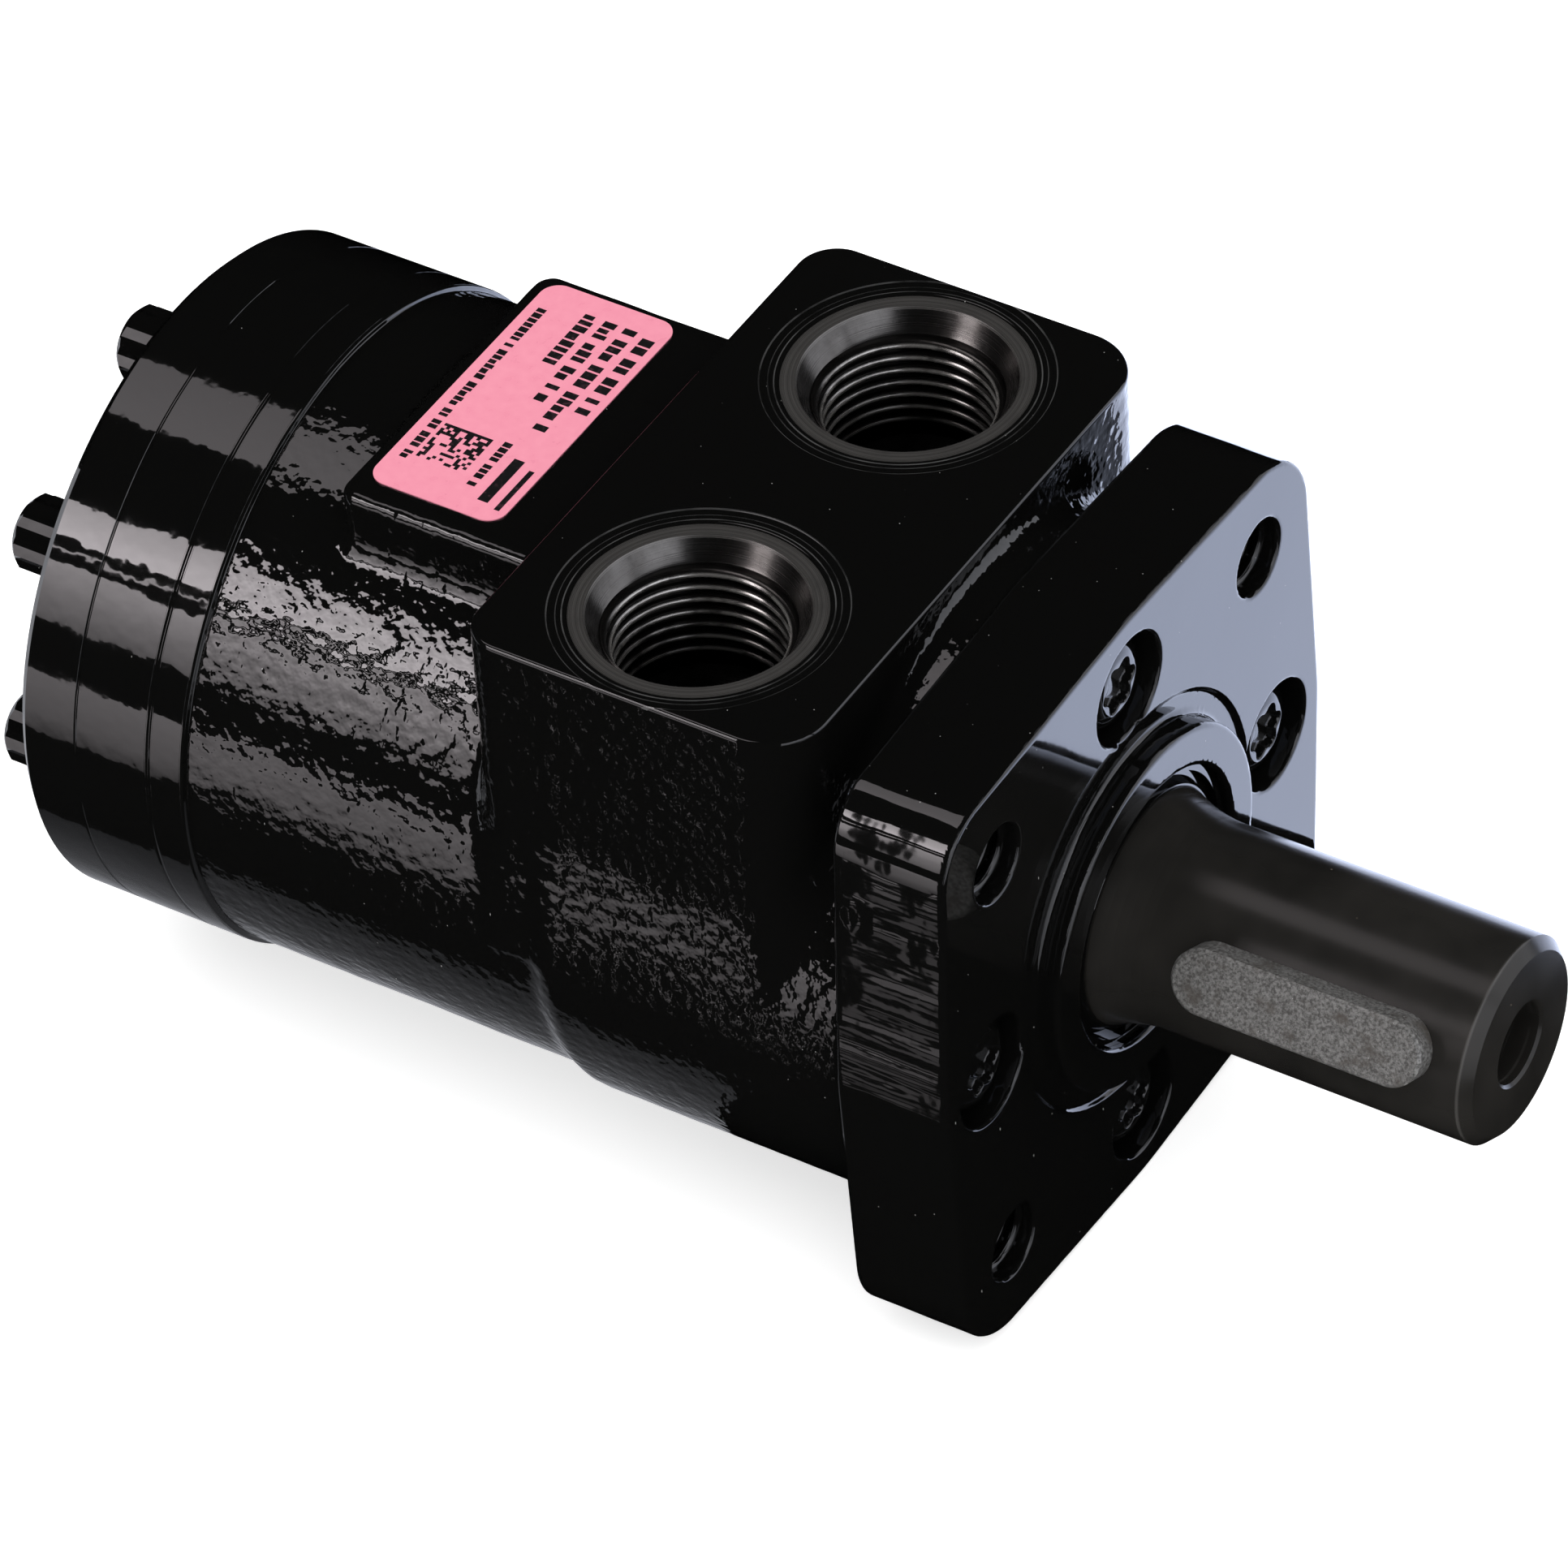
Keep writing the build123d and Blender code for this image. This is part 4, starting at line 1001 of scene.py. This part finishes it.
def head_height(radius, angle):
    """Front of a painted screw head: domed rim and a six-lobed socket part filled with paint."""
    rim = SCREWS_HIGH.x - 0.24 * max(0.0, radius - 3.35) ** 2
    edge = SOCKET_RADIUS + SOCKET_LOBE * math.cos(6 * angle)
    t = min(1.0, max(0.0, (radius - edge + 0.45) / 0.7))
    floor_x = SCREWS_HIGH.x - SOCKET_DEPTH + 0.06 * radius * radius / 4
    return floor_x + (rim - floor_x) * t * t * (3 - 2 * t)


def flange_screw_set():
    """Four screws, each a head with a filled socket, a flat under it and a plain shank."""
    steps = 96
    radii = [0.25 * i for i in range(1, 7)] + [1.5 + 0.1 * i for i in range(1, 24)]
    radii += [4.2, 4.6, 5.0, 5.4, 5.75, HEAD_RADIUS]
    rear = ((HEAD_RADIUS, HEAD_REAR_X), (SHANK_RADIUS, HEAD_REAR_X), (SHANK_RADIUS, SCREWS_LOW.x))
    verts, faces = [], []
    for k in range(4):
        a0 = math.pi / 2 * k
        cy, cz = FRONT_SCREW_CIRCLE * math.cos(a0), FRONT_SCREW_CIRCLE * math.sin(a0)
        base = len(verts)
        verts.append((head_height(0, 0), cy, cz))
        rows = []
        for radius in radii:
            rows.append(len(verts))
            for i in range(steps):
                a = 2 * math.pi * i / steps
                verts.append((head_height(radius, a), cy + radius * math.cos(a), cz + radius * math.sin(a)))
        for radius, x in rear:
            rows.append(len(verts))
            for i in range(steps):
                a = 2 * math.pi * i / steps
                verts.append((x, cy + radius * math.cos(a), cz + radius * math.sin(a)))
        for i in range(steps):
            faces.append((base, rows[0] + i, rows[0] + (i + 1) % steps))
        for low, high in zip(rows, rows[1:]):
            for i in range(steps):
                j = (i + 1) % steps
                faces.append((low + i, high + i, high + j, low + j))
        faces.append(tuple(rows[-1] + i for i in range(steps)))
    obj = new_object("flange_screws_painted", verts, faces, flange_black)
    fix_normals(obj.data)
    set_sharp(obj, 40)
    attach(obj, "body")
    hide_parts("flange_screws")


flange_screw_set()

# ---- label print -----------------------------------------------------------------
def print_label():
    """Rows of plain bars in place of words, and a plain block pattern."""
    rng = np.random.default_rng(7)
    top = LABEL_HIGH.z
    thick, sunk = 0.01, 0.005
    bars = []
    # rows run along Y; each row is (x of its middle, letter height, first y, last y)
    rows = ((-73.2, 1.7, 17.0, 3.0), (-75.9, 1.7, 17.6, -2.0), (-78.6, 1.7, 17.6, 2.0),
            (-81.3, 1.7, 17.6, 7.5), (-87.0, 1.15, 16.0, -13.5), (-77.6, 1.1, -6.0, -14.6))
    for x, height, y_first, y_last in rows:
        y = y_first
        while y > y_last:
            width = height * rng.choice([0.45, 0.6, 0.6, 0.75])
            tall = height * rng.choice([1.0, 1.0, 0.8])
            bars.append((x - height / 2, x - height / 2 + tall, y - width, y))
            y -= width + height * rng.choice([0.18, 0.18, 0.18, 0.7])
    cell, cells, filled = 0.46, 14, 0.42
    for i in range(cells):
        for j in range(cells):
            if i in (0, cells - 1) and j % 2 == 0 or j == 0 or rng.random() < filled:
                x, y = -85.9 + i * cell, -6.4 - j * cell
                bars.append((x, x + cell, y - cell, y))
    bars.append((-73.0, -72.3, -9.0, -16.6))
    bars.append((-75.6, -74.2, -8.0, -16.0))
    verts, faces = [], []
    for x0, x1, y0, y1 in bars:
        y0, y1 = sorted((y0, y1))
        base = len(verts)
        corners = ((x0, y0), (x1, y0), (x1, y1), (x0, y1))
        verts += [(x, y, z) for z in (top - sunk, top + thick) for x, y in corners]
        faces += [tuple(base + k for k in q) for q in
                  ((0, 3, 2, 1), (4, 5, 6, 7), (0, 1, 5, 4), (1, 2, 6, 5), (2, 3, 7, 6), (3, 0, 4, 7))]
    obj = new_object("label_print", verts, faces, label_ink(), smooth=False)
    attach(obj, "body")


print_label()

# ---- camera ----------------------------------------------------------------------
CAMERA_AZIMUTH = math.radians(33.7619)
CAMERA_HEIGHT = math.radians(42.0130)
CAMERA_ROLL = math.radians(-3.5843)
CAMERA_AIM = Vector((-0.134906, 0.131376, -0.144735))
CAMERA_DISTANCE = 1.499329
SENSOR = 36.0
LENS = 255.9797


def set_camera():
    """Camera solved from the outlines in the photo; the angles are round the row frame's axes."""
    ca, sa = math.cos(CAMERA_AZIMUTH), math.sin(CAMERA_AZIMUTH)
    ce, se = math.cos(CAMERA_HEIGHT), math.sin(CAMERA_HEIGHT)
    back = Vector((sa * ce, -ca * ce, se))
    right = Vector((ca, sa, 0))
    up = back.cross(right)
    cr, sr = math.cos(CAMERA_ROLL), math.sin(CAMERA_ROLL)
    right, up = cr * right + sr * up, cr * up - sr * right
    data = bpy.data.cameras.new("camera")
    data.sensor_width = SENSOR
    data.lens = LENS
    data.clip_start, data.clip_end = 0.05, 20.0
    cam = bpy.data.objects.new("camera", data)
    scene.collection.objects.link(cam)
    place = Matrix((right, up, back)).transposed().to_4x4()
    place.translation = CAMERA_AIM + back * CAMERA_DISTANCE
    cam.matrix_world = place
    scene.camera = cam


set_camera()


# ---- floor, cards and lights -------------------------------------------------------
def floor():
    """Plain pale floor under the motor, not seen in the gloss."""
    z = CAD_BOX[0][2]
    size = 6.0
    mesh = bpy.data.meshes.new("floor")
    corners = [(-size, -size, z), (size, -size, z), (size, size, z), (-size, size, z)]
    mesh.from_pydata(corners, [], [(0, 1, 2, 3)])
    obj = bpy.data.objects.new("floor", mesh)
    scene.collection.objects.link(obj)
    n = Nodes("floor_white")
    tone = n.noise(n.place(), 3.0, 2.0)
    mesh.materials.append(n.finish(Base_Color=(0.9, 0.9, 0.9, 1), Roughness=n.span(tone, 0.3, 0.7, 0.7, 0.8),
                                   Emission_Color=(1, 1, 1, 1), Emission_Strength=0.6))
    obj.visible_glossy = False


def card(name, corners, colour, ramp):
    """Glowing studio card seen only in reflections. ramp lists (place from 0 to 1, brightness)
    from its first edge (corners 0 and 1) to the opposite one."""
    mesh = bpy.data.meshes.new(name)
    mesh.from_pydata(corners, [], [(0, 1, 2, 3)])
    uv = mesh.uv_layers.new(name="UVMap")
    for loop, at in zip(uv.data, ((0, 0), (1, 0), (1, 1), (0, 1))):
        loop.uv = at
    obj = bpy.data.objects.new(name, mesh)
    scene.collection.objects.link(obj)
    n = Nodes(name)
    where = n.add("ShaderNodeTexCoord")
    split = n.add("ShaderNodeSeparateXYZ", {0: where.outputs["UV"]})
    curve = n.add("ShaderNodeValToRGB", {0: split.outputs["Y"]})
    peak = max(level for _, level in ramp)
    stops = curve.color_ramp.elements
    while len(stops) < len(ramp):
        stops.new(0.5)
    for stop, (at, level) in zip(stops, ramp):
        stop.position = at
        stop.color = (level / peak, level / peak, level / peak, 1)
    glow = n.add("ShaderNodeEmission", {"Color": (*colour, 1),
                                        "Strength": n.calc("MULTIPLY", curve.outputs[0], peak)})
    out = n.add("ShaderNodeOutputMaterial")
    n.feed(out, "Surface", glow)
    mesh.materials.append(n.material)
    obj.visible_camera = False
    obj.visible_diffuse = False
    obj.visible_shadow = False


CARD_RADIUS = 1.2


def wall_card(name, x_range, low, high, colour, ramp):
    """Long card beside the motor. low and high are angles round the X axis, in degrees:
    0 is level on the -Y side and 90 is straight above."""
    corners = []
    for x, angle in ((x_range[0], low), (x_range[1], low), (x_range[1], high), (x_range[0], high)):
        a = math.radians(angle)
        corners.append((x, -CARD_RADIUS * math.cos(a), CARD_RADIUS * math.sin(a)))
    card(name, corners, colour, ramp)


def end_card(name, azimuths, low, high, colour, ramp):
    """Card beyond the shaft's end, between two azimuths and two heights in degrees."""
    corners = []
    for azimuth, height in ((azimuths[0], low), (azimuths[1], low), (azimuths[1], high), (azimuths[0], high)):
        a, e = math.radians(azimuth), math.radians(height)
        corners.append((CARD_RADIUS * math.cos(e) * math.cos(a), CARD_RADIUS * math.cos(e) * math.sin(a),
                        CARD_RADIUS * math.sin(e)))
    card(name, corners, colour, ramp)


def floor_card(name, x_range, y_range, colour, ramp):
    z = CAD_BOX[0][2] - 0.0005
    (x0, x1), (y0, y1) = x_range, y_range
    card(name, [(x0, y0, z), (x1, y0, z), (x1, y1, z), (x0, y1, z)], colour, ramp)


floor()
CARD_FRONT_X = -0.505      # the side cards end level with the flange, short of the shaft
WARM = (1.0, 0.93, 0.96)
COOL = (0.90, 1.0, 1.30)
wall_card("card_side_high", (-1.0, CARD_FRONT_X), 36.0, 48.6, WARM, ((0, 10.5), (0.5, 8.5), (1, 7.0)))
wall_card("card_side_line", (-1.0, CARD_FRONT_X), 31.6, 32.6, WARM, ((0, 6.0), (1, 6.0)))
wall_card("card_side", (-1.0, CARD_FRONT_X), 7.5, 28.0, WARM, ((0, 1.7), (0.5, 3.3), (1, 5.5)))
wall_card("card_side_low", (-1.0, CARD_FRONT_X), -32.0, -9.6, WARM, ((0, 0.5), (0.3, 1.3), (1, 2.2)))
# (place, brightness): narrow bands that the cutter marks on the flange's side break into streaks
FLANGE_STRIPES = ((0, 0.3), (0.12, 0.3), (0.14, 0), (0.26, 0), (0.28, 0.5), (0.42, 0.5), (0.44, 0),
                  (0.56, 0), (0.58, 0.9), (0.72, 0.9), (0.74, 0), (0.84, 0), (0.86, 1.6), (1, 1.6))
wall_card("card_side_flange", (-0.536, -0.497), -45.0, -33.5, WARM, FLANGE_STRIPES)
wall_card("card_above", (-1.0, -0.33), 80.0, 101.0, WARM, ((0, 2.1), (1, 1.7)))
end_card("card_end", (-46, 5), -16, 36, (0.95, 0.97, 1.05), ((0, 0.9), (1, 2.2)))
end_card("card_end_far", (8, 62), -8, 32, (0.95, 0.97, 1.05), ((0, 1.2), (1, 2.0)))
floor_card("card_floor_far", (-0.11, 0.8), (0.059, 0.9), COOL, ((0, 2.3), (1, 2.1)))
floor_card("card_floor_left", (-0.6, -0.19), (-0.1, 0.06), (0.95, 0.97, 1.05), ((0, 0.7), (1, 0.7)))
floor_card("card_floor_under", (-0.25, -0.045), (-0.052, 0.0), (0.95, 0.97, 1.05),
           ((0, 0.1), (0.4, 0.2), (1, 0.7)))


def overhead(azimuth, height, size, power, distance=2.0):
    """Soft light for depth on the matt surfaces, not seen in the gloss."""
    a, e = math.radians(azimuth), math.radians(height)
    way = Vector((math.cos(e) * math.cos(a), math.cos(e) * math.sin(a), math.sin(e)))
    data = bpy.data.lights.new("overhead", "AREA")
    data.shape = "DISK"
    data.size = size
    data.energy = power
    obj = bpy.data.objects.new("overhead", data)
    scene.collection.objects.link(obj)
    obj.location = way * distance
    obj.rotation_euler = way.to_track_quat("Z", "Y").to_euler()
    obj.visible_camera = False
    obj.visible_glossy = False


overhead(-60, 70, 1.6, 12)
world = bpy.data.worlds.new("world")
scene.world = world
world.use_nodes = True
world.node_tree.nodes["Background"].inputs["Color"].default_value = (1, 1, 1, 1)
world.node_tree.nodes["Background"].inputs["Strength"].default_value = 1.0
world.cycles_visibility.glossy = False
scene.view_settings.view_transform = "Standard"
